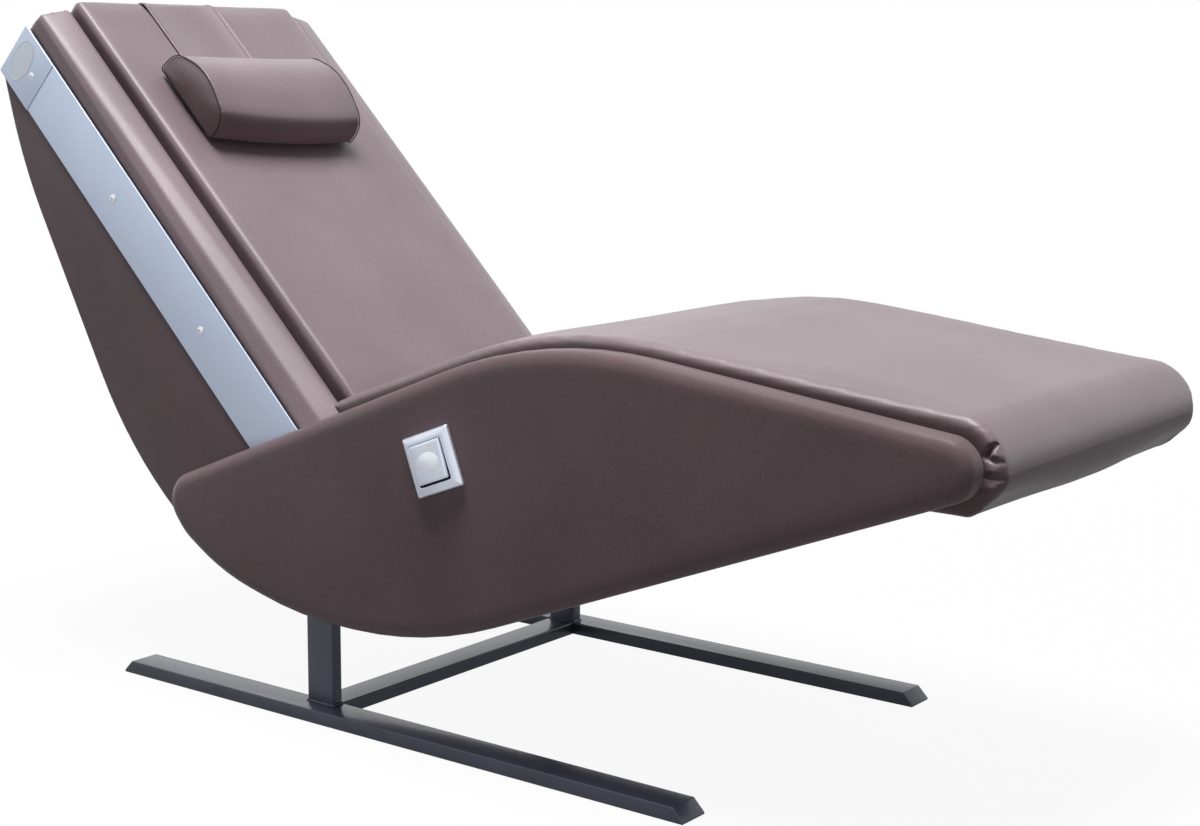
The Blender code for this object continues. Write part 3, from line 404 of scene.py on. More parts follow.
def inward(points, distance):
    # a closed outline moved to its inner side
    area = sum(a.cross(b) for a, b in zip(points, points[1:] + points[:1]))
    side = 1 if area > 0 else -1
    moved = []
    count = len(points)
    for i, spot in enumerate(points):
        before = (spot - points[i - 1]).normalized()
        after = (points[(i + 1) % count] - spot).normalized()
        left = Vector((-before.y - after.y, before.x + after.x)).normalized() * side
        moved.append(spot + left * distance / max(0.35, left @ (Vector((-after.y, after.x)) * side)))
    return moved


def circle(count):
    # the cosines and sines of a full turn in equal steps
    return [(cos(2 * pi * k / count), sin(2 * pi * k / count)) for k in range(count)]


def ringMesh(name, rings, capped=True):
    # rings of the same count, bridged in order, with an end face on each end
    work = bmesh.new()
    rows = [[work.verts.new(spot) for spot in ring] for ring in rings]
    count = len(rows[0])
    for low, high in zip(rows, rows[1:]):
        for i in range(count):
            work.faces.new((low[i], low[(i + 1) % count], high[(i + 1) % count], high[i]))
    if capped:
        work.faces.new(rows[0])
        work.faces.new(rows[-1])
    bmesh.ops.recalc_face_normals(work, faces=work.faces)
    data = bpy.data.meshes.new(name)
    work.to_mesh(data)
    work.free()
    return data


def newPiece(name, data, slot, body="root", replaced=(), shading=35, finish=None):
    made = bpy.data.objects.new(name, data)
    scene.collection.objects.link(made)
    data.materials.clear()
    data.materials.append(finish or finishes[slot])
    for face in data.polygons:
        face.use_smooth = shading is not None
    if shading is not None and shading < 180:
        data.set_sharp_from_angle(angle=radians(shading))
    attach(made, body)
    if replaced:
        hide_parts(*replaced)
    return made


def shapeOf(obj):
    # the mesh with its modifiers, as new data
    bpy.context.view_layer.update()
    graph = bpy.context.evaluated_depsgraph_get()
    return bpy.data.meshes.new_from_object(obj.evaluated_get(graph))


def settle(obj):
    # makes the modifiers permanent
    data = shapeOf(obj)
    obj.modifiers.clear()
    obj.data = data
    return obj


def remeshed(obj, voxel):
    step = obj.modifiers.new("evenMesh", "REMESH")
    step.mode = "VOXEL"
    step.voxel_size = voxel
    step.use_smooth_shade = True
    return settle(obj)


def subdivided(obj):
    step = obj.modifiers.new("finer", "SUBSURF")
    step.levels = step.render_levels = 1
    return settle(obj)


def pushPoints(obj, move):
    # moves each point by what the function gives for its place and normal
    data = obj.data
    shifts = [move(v.co.copy(), v.normal.copy()) for v in data.vertices]
    for vertex, shift in zip(data.vertices, shifts):
        if shift is not None:
            vertex.co += shift
    data.update()


def puff(obj, voxel, pressure, cap, held, calm=24):
    # Air pressure swells the cover. No point rises further than the cap, and the rise is evened out
    # over its neighbours, so that the leather stays taut.
    remeshed(obj, voxel)
    data = obj.data
    start = [v.co.copy() for v in data.vertices]
    normals = [v.normal.copy() for v in data.vertices]
    fixed = {i for i, spot in enumerate(start) if held(spot)}
    rise = [0.0 if i in fixed else cap * 0.75 for i in range(len(start))]
    pins = obj.vertex_groups.new(name="pins")
    pins.add(list(fixed), 1.0, "REPLACE")
    cloth = obj.modifiers.new("air", "CLOTH")
    values = cloth.settings
    values.quality = 4
    values.mass = 0.35
    values.tension_stiffness = values.compression_stiffness = 18
    values.shear_stiffness = 8
    values.bending_stiffness = 1.2
    values.use_pressure = True
    values.uniform_pressure_force = pressure
    values.vertex_group_mass = "pins"
    values.effector_weights.gravity = 0
    cloth.collision_settings.use_collision = False
    cloth.point_cache.frame_start = 1
    cloth.point_cache.frame_end = 20
    for frameNumber in range(1, 21):
        scene.frame_set(frameNumber)
    grown = shapeOf(obj)
    obj.modifiers.clear()
    rise = [min(cap, max(0.0, (new.co - old).dot(normal)))
            for new, old, normal in zip(grown.vertices, start, normals)]
    bpy.data.meshes.remove(grown)
    obj.vertex_groups.clear()
    scene.frame_set(1)
    links = [tuple(edge.vertices) for edge in data.edges]
    for _ in range(calm):
        total = rise[:]
        share = [1] * len(rise)
        for a, b in links:
            total[a] += rise[b]
            total[b] += rise[a]
            share[a] += 1
            share[b] += 1
        rise = [0.0 if i in fixed else value / count for i, (value, count) in enumerate(zip(total, share))]
    for i, vertex in enumerate(data.vertices):
        vertex.co = start[i] + normals[i] * rise[i]
    for face in data.polygons:
        face.use_smooth = True
    data.update()
    return subdivided(obj)


def cordRing(name, path, radius, sides=8):
    # a round cord along a closed line of points
    rings = []
    side = None
    for i, spot in enumerate(path):
        ahead = (path[(i + 1) % len(path)] - path[i - 1]).normalized()
        if side is None:
            side = ahead.cross(Vector((0, 0, 1)) if abs(ahead.z) < 0.9 else Vector((0, 1, 0))).normalized()
        side = (side - ahead * side.dot(ahead)).normalized()
        up = ahead.cross(side)
        rings.append([spot + side * across * radius + up * rise * radius for across, rise in circle(sides)])
    return ringMesh(name, rings + [rings[0]], capped=False)


def stitchRow(name, path, outward, length=0.0034, gap=0.0016, radius=0.00042):
    # one mesh of short rounded stitches along a line, each sunk at its ends
    work = bmesh.new()
    lengths = [(b - a).length for a, b in zip(path, path[1:])]
    total = sum(lengths)
    count = max(1, int(total / (length + gap)))
    step = total / count

    def at(distance):
        for i, part in enumerate(lengths):
            if distance <= part or i == len(lengths) - 1:
                share = min(1.0, distance / part) if part else 0
                return path[i].lerp(path[i + 1], share), outward[i].lerp(outward[i + 1], share).normalized()
            distance -= part

    for number in range(count):
        ends = [at(number * step + gap / 2 + length * share) for share in (0, 0.2, 0.5, 0.8, 1.0)]
        lift = (-0.0005, 0.0001, 0.0003, 0.0001, -0.0005)
        rows = []
        for k, ((spot, normal), rise) in enumerate(zip(ends, lift)):
            ahead = (ends[min(k + 1, 4)][0] - ends[max(k - 1, 0)][0]).normalized()
            side = ahead.cross(normal).normalized()
            up = side.cross(ahead)
            middle = spot + normal * rise
            rows.append([work.verts.new(middle + (side * cos(a) + up * sin(a)) * radius)
                         for a in (0, pi / 3, 2 * pi / 3, pi, 4 * pi / 3, 5 * pi / 3)])
        for low, high in zip(rows, rows[1:]):
            for i in range(6):
                work.faces.new((low[i], low[(i + 1) % 6], high[(i + 1) % 6], high[i]))
        work.faces.new(rows[0])
        work.faces.new(rows[-1])
    bmesh.ops.recalc_face_normals(work, faces=work.faces)
    data = bpy.data.meshes.new(name)
    work.to_mesh(data)
    work.free()
    return data


# Seat and leg cushion. Its top line is two straight runs joined by the knee's arc.
seatCushion = {
    "knee": (0.425, 0.619), "seatSlope": radians(20.5), "legSlope": radians(-6.0), "kneeRadius": 0.66,
    "footX": 1.066, "topRadius": 0.061, "underZ": 0.434, "wrapX": 0.9523,
    "lowRadius": 0.051, "sideRoll": (0.018, 0.003), "footLift": 0.0125,
    "halfWidth": 0.2935, "depth": 0.0597, "rearOut": 0.3425, "inset": 0.004, "rim": 0.009,
    "voxel": 0.006, "pressure": 4.0, "cap": 0.004,
}
footTuck = {                    # folded leather at each foot corner: places are (x, z) on the side
    "low": (1.000, 0.425), "high": (1.072, 0.545), "cuts": 2,
    "dart": ((1.0395, 0.5130), (1.0440, 0.5235), (1.0500, 0.5290), (1.0560, 0.5295)),
    "dartDepth": 0.0070, "dartWidth": 0.0030,
    "lumps": ((1.0500, 0.5165, 0.0050, 0.0045, 0.0034), (1.0480, 0.4985, 0.0085, 0.0085, 0.0036),
              (1.0475, 0.4740, 0.0090, 0.0110, 0.0036)),       # x, z, half length, half height, rise
    "creases": ((0.5085, 0.0030), (0.4870, 0.0011)), "creaseWidth": 0.0024, "cornerDepth": 0.0028,
    "corner": ((1.0585, 0.5120), (1.0590, 0.4640)),
    "sag": (1.040, 0.441, 0.022, 0.0045),
}


def lineCrossing(a, alongA, b, alongB):
    return a + alongA * ((b - a).cross(alongB) / alongA.cross(alongB))


def seatLine(depth, out):
    # where the seat line at this depth meets the plane that stands out from the back
    values = seatCushion
    along = Vector((cos(values["seatSlope"]), sin(values["seatSlope"])))
    start = Vector(values["knee"]) + Vector((along.y, -along.x)) * depth
    foot = onBack(0, out)
    return lineCrossing(start, along, Vector((foot.x, foot.z)), Vector((-cos(backAngle), sin(backAngle))))


def kneeSpot(depth):
    values = seatCushion
    seat, leg = (Vector((cos(values[key]), sin(values[key]))) for key in ("seatSlope", "legSlope"))
    seatSpot, legSpot = (Vector(values["knee"]) + Vector((run.y, -run.x)) * depth for run in (seat, leg))
    return lineCrossing(seatSpot, seat, legSpot, leg)


def legLine(depth, x):
    knee = kneeSpot(depth)
    return Vector((x, knee.y + (x - knee.x) * tan(seatCushion["legSlope"])))


def topHeight(x):
    # height of the cushion's top line over a place along it
    knee = Vector(seatCushion["knee"])
    slope = seatCushion["seatSlope"] if x < knee.x else seatCushion["legSlope"]
    return knee.y + (x - knee.x) * tan(slope)


def rolledPlate(name, outline, lowY, highY, rim, depth, steps=5):
    # a thick plate between two Y planes whose rims roll over on both faces
    rings = []
    turns = [pi / 2 * k / steps for k in range(steps + 1)]
    for turn in reversed(turns):
        ring = inward(outline, rim * (1 - cos(turn)))
        rings.append([Vector((p.x, lowY + depth * (1 - sin(turn)), p.y)) for p in ring])
    for turn in turns:
        ring = inward(outline, rim * (1 - cos(turn)))
        rings.append([Vector((p.x, highY - depth * (1 - sin(turn)), p.y)) for p in ring])
    return ringMesh(name, rings)


def makeSeatCushion(values):
    inset = values["inset"]
    depth = values["depth"]
    foot = values["footX"] - inset
    under = values["underZ"] + inset
    corners = [(*seatLine(inset, values["rearOut"]), 0), (*kneeSpot(inset), values["kneeRadius"]),
               (*legLine(inset, foot), values["topRadius"]), (foot, under, values["lowRadius"]),
               (values["wrapX"], under, 0), (*legLine(depth, values["wrapX"]), 0),
               (*kneeSpot(depth), values["kneeRadius"] - depth), (*seatLine(depth, values["rearOut"]), 0)]
    half = values["halfWidth"] - inset
    rim = values["rim"]
    data = rolledPlate("seatCushion", rounded(corners), -half, half, rim, rim)
    made = newPiece("seatCushion", data, "leather", replaced=["seat_cushion"], shading=180)

    def held(spot):
        deep = topHeight(spot.x) - spot.z
        rear = spot.x * sin(backAngle) + spot.z * cos(backAngle)
        return (deep > depth - 0.012 and spot.x < values["wrapX"] + 0.02) or rear < values["rearOut"] + 0.008

    puff(made, values["voxel"], values["pressure"], values["cap"], held)
    rollWidth, rollDrop = values["sideRoll"]

    def rollOver(spot, normal):
        # the top falls away softly toward both sides
        share = min(1.0, max(0.0, (abs(spot.y) - values["halfWidth"] + rollWidth) / rollWidth))
        share *= 1 - ease(0.90, 1.00, spot.x)
        return Vector((0, 0, -rollDrop * share * share * max(0.0, normal.z)))

    pushPoints(made, rollOver)
    tuckCorners(made, footTuck)
    pushPoints(made, lambda spot, normal: Vector((0, 0, values["footLift"] * ease(0.03, 0.26, abs(spot.y))
               * ease(1.012, 1.046, spot.x) * (1 - ease(values["underZ"], 0.500, spot.z)))))
    return made


def bell(distance, width):
    return exp(-(distance / width) ** 2)


def tuckCorners(obj, values):
    work = bmesh.new()
    work.from_mesh(obj.data)
    low, high = values["low"], values["high"]

    def near(spot):
        return low[0] < spot.x < high[0] and low[1] < spot.z < high[1] and abs(spot.y) > 0.262

    edges = [edge for edge in work.edges if all(near(vert.co) for vert in edge.verts)]
    bmesh.ops.subdivide_edges(work, edges=edges, cuts=values["cuts"], use_grid_fill=True, smooth=0.5)
    work.normal_update()
    dart = [Vector((x, z)) for x, z in values["dart"]]
    corner = [Vector((x, z)) for x, z in values["corner"]]
    shifts = []
    for vert in work.verts:
        if not near(vert.co):
            continue
        side = 1 if vert.co.y > 0 else -1
        place = Vector((vert.co.x, vert.co.z))
        facing = ease(0.15, 0.7, vert.normal.y * side)
        rise = sum(height * bell(place.x - x, wide) * bell(place.y - z, tall)
                   for x, z, wide, tall, height in values["lumps"])
        toDart = min(gapTo(place, a, b) for a, b in zip(dart, dart[1:]))
        rise -= values["dartDepth"] * bell(toDart, values["dartWidth"])
        for z, deep in values["creases"]:
            bend = z - 0.12 * (place.x - 1.050)
            rise -= deep * bell(place.y - bend, values["creaseWidth"]) * ease(1.034, 1.046, place.x)
        rise -= values["cornerDepth"] * bell(gapTo(place, *corner), values["creaseWidth"])
        x, z, wide, drop = values["sag"]
        down = drop * bell(place.x - x, wide) * bell(place.y - z, wide) * ease(0.270, 0.288, abs(vert.co.y))
        shifts.append((vert, Vector((0, side * rise * facing, -down))))
    for vert, shift in shifts:
        vert.co += shift
    work.to_mesh(obj.data)
    work.free()


def gapTo(place, a, b):
    # distance from a place to a stretch of line
    along = b - a
    share = min(1.0, max(0.0, (place - a).dot(along) / along.length_squared))
    return (place - a - along * share).length


seat = makeSeatCushion(seatCushion)
print("seat cushion done")


# Back cushion and the two bolsters beside it
backPad = {
    "low": 0.290, "high": 1.142, "rear": 0.2698, "front": 0.335, "halfWidth": 0.233, "inset": 0.004,
    "headRound": 0.009, "rim": 0.008, "voxel": 0.005, "pressure": 4.0, "cap": 0.004,
    "level": 0.80, "slope": 0.0115,                     # the front face sinks toward the head end
}
bolster = {
    "low": 0.290, "high": 1.130, "rear": 0.2698, "inner": 0.237, "outer": 0.2965, "innerLow": 0.3235,
    "innerHigh": 0.3185, "ridge": (0.279, 0.3045, 0.010), "sideOut": 0.2775, "round": 0.0065, "inset": 0.0015,
    "headEnd": (0.07, 0.012),                           # over this stretch the ridge draws out by this much
    "endRound": 0.004, "voxel": 0.004, "pressure": 3.0, "cap": 0.002,
}


def barAlongBack(name, section, low, high, endRound, steps=4):
    # section(up) gives the outline as points of (y, out); the ends draw in over their last stretch
    turns = [pi / 2 * k / steps for k in range(steps + 1)]
    ends = [(endRound * (1 - cos(turn)), endRound * (1 - sin(turn))) for turn in turns]
    stops = [(low + rise, draw) for rise, draw in ends]
    stops += [(high - rise, draw) for rise, draw in reversed(ends)]
    return ringMesh(name, [[onBack(up, p.y, p.x) for p in inward(section(up), draw)] for up, draw in stops])


def makeBackPad(values):
    inset = values["inset"]
    half, rim = values["halfWidth"] - inset, values["rim"]
    low, high = values["low"], values["high"] - inset
    rear, front = values["rear"], values["front"] - inset
    outline = []
    for up, out, radius in ((low, rear, 0), (low, front, 0), (high, front, values["headRound"]),
                            (high, rear, values["inset"])):
        place = onBack(up, out)
        outline.append((place.x, place.z, radius))
    data = rolledPlate("backCushion", rounded(outline), -half, half, rim, rim)
    made = newPiece("backCushion", data, "leather", replaced=["back_cushion"], shading=180)

    def held(spot):
        up, out = backPlace(spot)
        return out < values["rear"] + 0.008 or up < values["low"] + 0.04

    puff(made, values["voxel"], values["pressure"], values["cap"], held)
    pushPoints(made, lambda spot, normal: faceSink(spot, values))
    return made


def faceSink(spot, values):
    # how far the front face lies off its nominal plane
    up, out = backPlace(spot)
    share = ease(values["rear"], values["front"] - 0.01, out)
    return Vector((sin(backAngle), 0, cos(backAngle))) * (share * (values["level"] - up) * values["slope"])


def makeBolster(label, node, side, values):
    inset = values["inset"]
    inner, outer = side * (values["inner"] + inset), side * (values["outer"] - inset)
    ridgeY, ridgeOut, ridgeRound = values["ridge"]
    headStretch, headDraw = values["headEnd"]

    def section(up):
        # the inner crest rises toward the seat
        share = (up - values["low"]) / (values["high"] - values["low"])
        square = ease(values["high"] - headStretch, values["high"], up) * headDraw
        crest = values["innerLow"] + (values["innerHigh"] - values["innerLow"]) * share
        return rounded([(inner, values["rear"], 0.003), (outer, values["rear"], 0.002),
                        (outer, values["sideOut"], 0.005),
                        (side * (ridgeY + square), ridgeOut - inset, ridgeRound),
                        (inner, crest - inset, values["round"])], turnStep=radians(12))

    data = barAlongBack("backBolster" + label, section, values["low"], values["high"] - inset,
                        values["endRound"])
    made = newPiece("backBolster" + label, data, "leather", replaced=["back_bolster_" + node], shading=180)

    def held(spot):
        above = backPlace(spot)[1] - values["rear"]
        return above < 0.006 or (abs(spot.y) > values["outer"] - 0.004 and above < 0.014)

    puff(made, values["voxel"], values["pressure"], values["cap"], held)


backCushion = makeBackPad(backPad)
for label, node, side in sides:
    makeBolster(label, node, side, bolster)
print("back cushion and bolsters done")


# Tub: one leather skin over the boards, its side edges turned with a small radius
tub = {
    "halfWidth": 0.2965, "headUp": 1.130, "topOut": 0.2695, "rearOut": 0.176, "rearRadius": 0.012,
    "shoulder": (1.0012, 0.1022, 0.768), "heel": (0.4621, -0.0601, 0.656),      # up, out, radius
    "floor": 0.166, "floorRear": (-0.1437, 0.200), "floorFront": (0.245, 0.530), "toe": (0.934, 0.060),
    "edge": 0.006,
}


def makeTub(values):
    def spot(up, out):
        place = onBack(up, out)
        return place.x, place.z

    shoulder, heel = values["shoulder"], values["heel"]
    under = seatCushion["underZ"]
    wrap = seatCushion["wrapX"] - 0.0003
    depth = seatCushion["depth"] + 0.0003
    corners = [(*spot(values["headUp"], values["topOut"]), 0),
               (*spot(values["headUp"], values["rearOut"]), values["rearRadius"]),
               (*spot(*shoulder[:2]), shoulder[2]), (*spot(*heel[:2]), heel[2]),
               (values["floorRear"][0], values["floor"], values["floorRear"][1]),
               (values["floorFront"][0], values["floor"], values["floorFront"][1]),
               (values["toe"][0], under, values["toe"][1]), (wrap, under, 0), (*legLine(depth, wrap), 0),
               (*kneeSpot(depth), seatCushion["kneeRadius"] - depth), (*seatLine(depth, values["topOut"]), 0)]
    half, edge = values["halfWidth"], values["edge"]
    data = rolledPlate("tubSkin", rounded(corners, turnStep=radians(3)), -half, half, edge, edge, 4)
    covered = ["tub_shell", "side_board_near", "side_board_far"]
    made = newPiece("tubSkin", data, "leather_side", replaced=covered, shading=40)


makeTub(tub)


# Side panels: upholstered boards with a rolled outer rim
sidePanel = {
    "corners": [(-0.3006, 0.3125, 0.0444), (0.124, 0.4811, 1.0), (0.4292, 0.6034, 0.69),
                (1.0431, 0.5328, 0.0404), (1.0431, 0.4704, 0.0358), (0.2311, 0.1537, 0.69),
                (-0.005, 0.1537, 0.682), (-0.1674, 0.1953, 0.354), (-0.2448, 0.2436, 0.093)],
    "inner": 0.3001, "outer": 0.3381, "backEdge": 0.005, "rim": 0.022, "rimDepth": 0.016, "crown": 0.0012,
}


def makeSidePanel(label, node, side, values):
    outline = evenly(rounded(values["corners"], turnStep=radians(4)), 0.012)
    rings = []
    steps = 8
    edge, rim, depth = values["backEdge"], values["rim"], values["rimDepth"]
    for k in range(3, -1, -1):
        turn = pi / 2 * k / 3
        rings.append((edge * (1 - cos(turn)), values["inner"] + edge * (1 - sin(turn))))
    for k in range(steps + 1):
        turn = pi / 2 * k / steps
        rings.append((rim * (1 - cos(turn)), values["outer"] - values["crown"] - depth * (1 - sin(turn))))
    rings.append((rim + 0.006, values["outer"] - values["crown"] * 0.55))
    rows = [[Vector((p.x, side * y, p.y)) for p in inward(outline, draw)] for draw, y in rings]
    data = ringMesh("sidePanel" + label, rows)
    made = newPiece("sidePanel" + label, data, "leather_side", replaced=["side_panel_" + node], shading=60)


for label, node, side in sides:
    makeSidePanel(label, node, side, sidePanel)
print("tub and side panels done")


# Headrest: pillow, the band that it slides on, and the counterweight behind the back
pillow = {
    "middleY": -0.025, "width": 0.300, "seatOut": 0.3374,
    "section": [(0.979, 0.0, 0.008), (0.972, 0.046, 0.040), (0.905, 0.078, 0.088), (0.823, 0.050, 0.042),
                (0.826, 0.0, 0.010)],                      # up, height over the cushion, radius
    "inset": 0.003, "voxel": 0.004, "pressure": 4.0, "cap": 0.003,
    "drop": 0.004, "sag": 0.010, "lean": 0.022, "stretch": 0.005,      # how the filling has settled
    "seamIn": 0.007, "dome": 0.0065, "capShare": 0.972, "seamShadeRadius": 0.0009, "stitchIn": 0.0046,
}


def onBody(body, path):
    # the nearest places on a piece and the directions that stand off it
    bpy.context.view_layer.update()
    found = [body.closest_point_on_mesh(spot) for spot in path]
    return [hit[1] for hit in found], [hit[2] for hit in found]


def makePillow(values):
    corners = [(-up, values["seatOut"] + rise, radius) for up, rise, radius in values["section"]]
    outline = inward(evenly(rounded(corners, turnStep=radians(8)), 0.004), values["inset"])
    half = values["width"] / 2 - values["seamIn"]
    ends = low, high = values["middleY"] - half, values["middleY"] + half
    edge = 0.0015
    rows = [[onBack(-p.x, p.y, y) for p in inward(outline, draw)]
            for y, draw in ((low, edge), (low + edge, 0.0), (high - edge, 0.0), (high, edge))]
    data = ringMesh("headrestPillow", rows)
    body = newPiece("headrestPillow", data, "leather", "pillow", ["headrest_pillow"], 180)
    base = values["seatOut"] + 0.006

    def held(spot):
        return backPlace(spot)[1] < base or min(abs(spot.y - y) for y in ends) < 0.003

    puff(body, values["voxel"], values["pressure"], values["cap"], held)
    middle = sum(outline, Vector((0, 0))) / len(outline)
    for (label, _, side), y in zip(sides, ends):
        capLine = [middle + (p - middle) * values["capShare"] for p in outline]
        rows = [[onBack(-p.x, p.y, y - side * 0.002) for p in capLine]]
        for k in range(10):
            share = cos(pi / 2 * k / 10) ** 0.8
            rise = values["dome"] * (1 - share ** 2.6)
            rows.append([onBack(-p.x, p.y, y + side * rise)
                         for p in [middle + (q - middle) * share for q in capLine]])
        name = "pillowEnd" + label
        cap = newPiece(name, ringMesh(name, rows), "leather", "pillow", shading=180)
        # each end seam gets a thin near-black cord: painted shadow in the groove between body and cap
        name = "pillowSeam" + label
        seam = [onBack(-p.x, p.y, y + side * 0.0004) for p in inward(outline, -0.0001)]
        data = cordRing(name, seam, values["seamShadeRadius"])
        newPiece(name, data, "leather", "pillow", shading=180, finish=paintedSeamShade)
        name = "pillowStitches" + label
        row = [onBack(-p.x, p.y, y - side * values["stitchIn"]) for p in outline if p.y > base]
        data = stitchRow(name, *onBody(body, row))
        newPiece(name, data, "leather", "pillow", shading=180, finish=thread)


def hangPillow(values):
    # the filling settles: the lower half drops between the ends and a little more at the far one
    downBack = Vector((cos(backAngle), 0, -sin(backAngle)))

    def drop(spot, normal):
        across = (spot.y - values["middleY"]) / (values["width"] / 2)
        share = 1 - 0.75 * ease(0.83, 0.95, backPlace(spot)[0])
        sag = values["sag"] * max(0.0, 1 - across ** 2)
        amount = share * (values["drop"] + sag + values["lean"] * (1 + across) / 2)
        return downBack * amount + Vector((0, values["stretch"] * (1 + across) / 2, 0))

    for made in bpy.data.objects:
        if made.type == "MESH" and made.name.startswith(("headrestPillow", "pillow")):
            pushPoints(made, drop)


makePillow(pillow)
hangPillow(pillow)
print("headrest pillow done")


# Sliding band: over the cushion and the head end, then straight down behind
band = {"width": 0.148, "middleY": -0.025, "thick": 0.0025, "hem": 0.0033, "hemWidth": 0.009, "lowUp": 0.855,
        "overUp": 1.1392, "front": 0.3328, "bend": 0.018, "rearOut": 0.172, "rearBend": 0.006, "drop": 0.250,
        "stitchIn": 0.0045, "press": 0.0030}


def bandPath(values):
    corner = onBack(values["overUp"], values["rearOut"])
    corners = [onBack(values["lowUp"], values["front"]), onBack(values["overUp"], values["front"]), corner,
               corner - Vector((0, 0, values["drop"]))]
    bends = (0, values["bend"], values["rearBend"], 0)
    path = rounded([(c.x, c.z, bend) for c, bend in zip(corners, bends)], closed=False, turnStep=radians(8))
    return evenly(path, 0.02, closed=False)


def pressCushion(values):
    # the taut band sinks into the cushion and draws its head end in
    def sunk(spot, normal):
        aside = values["width"] / 2 + 0.007 - abs(spot.y - values["middleY"])
        along = ease(values["lowUp"] - 0.03, values["lowUp"], backPlace(spot)[0])
        return -normal * values["press"] * ease(0.0, 0.009, aside) * along

    pushPoints(backCushion, sunk)


def makeBand(values):
    pressCushion(values)
    path = [spot + Vector((sink.x, sink.z)) for spot in bandPath(values)
            for sink in [faceSink(Vector((spot.x, 0, spot.y)), backPad)]]
    half, thick, hem = values["width"] / 2, values["thick"], values["hem"]
    edge = hem / 2
    section = [(-half + edge - sin(pi * k / 6) * edge, edge - cos(pi * k / 6) * edge) for k in range(7)]
    section += [(-half + values["hemWidth"], hem), (-half + values["hemWidth"] + 0.0012, thick),
                (half - values["hemWidth"] - 0.0012, thick), (half - values["hemWidth"], hem)]
    section += [(half - edge + sin(pi * k / 6) * edge, edge + cos(pi * k / 6) * edge) for k in range(7)]
    rows, spots, normals = [], [], []
    for i, spot in enumerate(path):
        ahead = (path[min(i + 1, len(path) - 1)] - path[max(i - 1, 0)]).normalized()
        outward = Vector((ahead.y, 0, -ahead.x))
        here = Vector((spot.x, values["middleY"], spot.y))
        rows.append([here + Vector((0, y, 0)) + outward * rise for y, rise in section])
        spots.append(here + outward * hem)
        normals.append(outward)
    data = ringMesh("headrestBand", rows)
    made = newPiece("headrestBand", data, "leather", replaced=["headrest_strap"], shading=50)
    for label, _, side in sides:
        shift = Vector((0, side * (half - values["stitchIn"]), 0))
        data = stitchRow("bandStitches" + label, [spot + shift for spot in spots], normals)
        newPiece("bandStitches" + label, data, "leather", shading=180, finish=thread)


makeBand(band)


# Counterweight pouch behind the head end
# rimShare is the thickness left at the rim, draw is how far the sides pull in
pouch = {"cuts": 9, "rimShare": 0.34, "draw": 0.03}


def makePouch(values):
    low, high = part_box("headrest_counterweight")
    size = (high - low) / 2
    middle = (high + low) / 2
    work = bmesh.new()
    bmesh.ops.create_cube(work, size=2)
    bmesh.ops.subdivide_edges(work, edges=work.edges, cuts=values["cuts"], use_grid_fill=True)
    rim = values["rimShare"]
    for vertex in work.verts:
        x, y, z = vertex.co
        crown = (1 - y ** 4) * (1 - z ** 4)
        draw = values["draw"] * ((1 - abs(z)) * abs(y) ** 6 + (1 - abs(y)) * abs(z) ** 6)
        thick = rim + (1 - rim) * sqrt(max(0.0, crown))
        vertex.co = Vector((x * thick, y * (1 - draw), z * (1 - draw)))
    data = bpy.data.meshes.new("counterweightPouch")
    work.to_mesh(data)
    work.free()
    data.transform(Matrix.Translation(middle) @ Matrix.Diagonal((*size, 1)))
    made = newPiece("counterweightPouch", data, "leather", "counterweight", ["headrest_counterweight"], 180)
    subdivided(made)


makePouch(pouch)
print("headrest done")


# Aluminium trim on the back's sides: strip, end plate with a bare oval badge, and pan-head screws
trim = {
    "face": 0.2968, "thick": 0.003, "front": 0.2745, "rear": 0.179, "low": 0.260,
    "seam": 1.044, "gap": 0.0006, "end": 1.132, "edge": 0.0007, "plateRear": 0.1775, "plateLift": 0.0006,
    "screws": (0.550, 0.814, 1.071), "screwOut": 0.2262,
    "badge": {"up": 1.1035, "out": 0.2275, "halfUp": 0.0212, "halfOut": 0.0385, "thick": 0.0008,
              "border": 0.0022},
}
screwHead = {
    "profile": [(0.0018, 0.0030), (0.0036, 0.0026), (0.0051, 0.0018), (0.0060, 0.0008), (0.0062, 0.0),
                (0.0062, -0.0004)],                        # radius, height over the face
    "recess": (0.0066, 0.0013, 0.0032), "recessMiddle": 0.0027, "narrowing": 0.55, "turn": 0.35,
}


def platePiece(name, corners, lowY, highY, edge, slot, **more):
    # a flat plate square to Y with softened edges; corners are (up, out)
    outline = [Vector((-up, out)) for up, out in corners]
    side = 1 if highY > 0 else -1
    innerY, outerY = (lowY, highY) if side > 0 else (highY, lowY)
    rows = []
    for draw, y in ((edge, innerY), (0, innerY + side * edge), (0, outerY - side * edge),
                    (edge * 0.3, outerY - side * edge * 0.3), (edge, outerY)):
        rows.append([onBack(-p.x, p.y, y) for p in inward(outline, draw)])
    return newPiece(name, ringMesh(name, rows), slot, shading=30, **more)


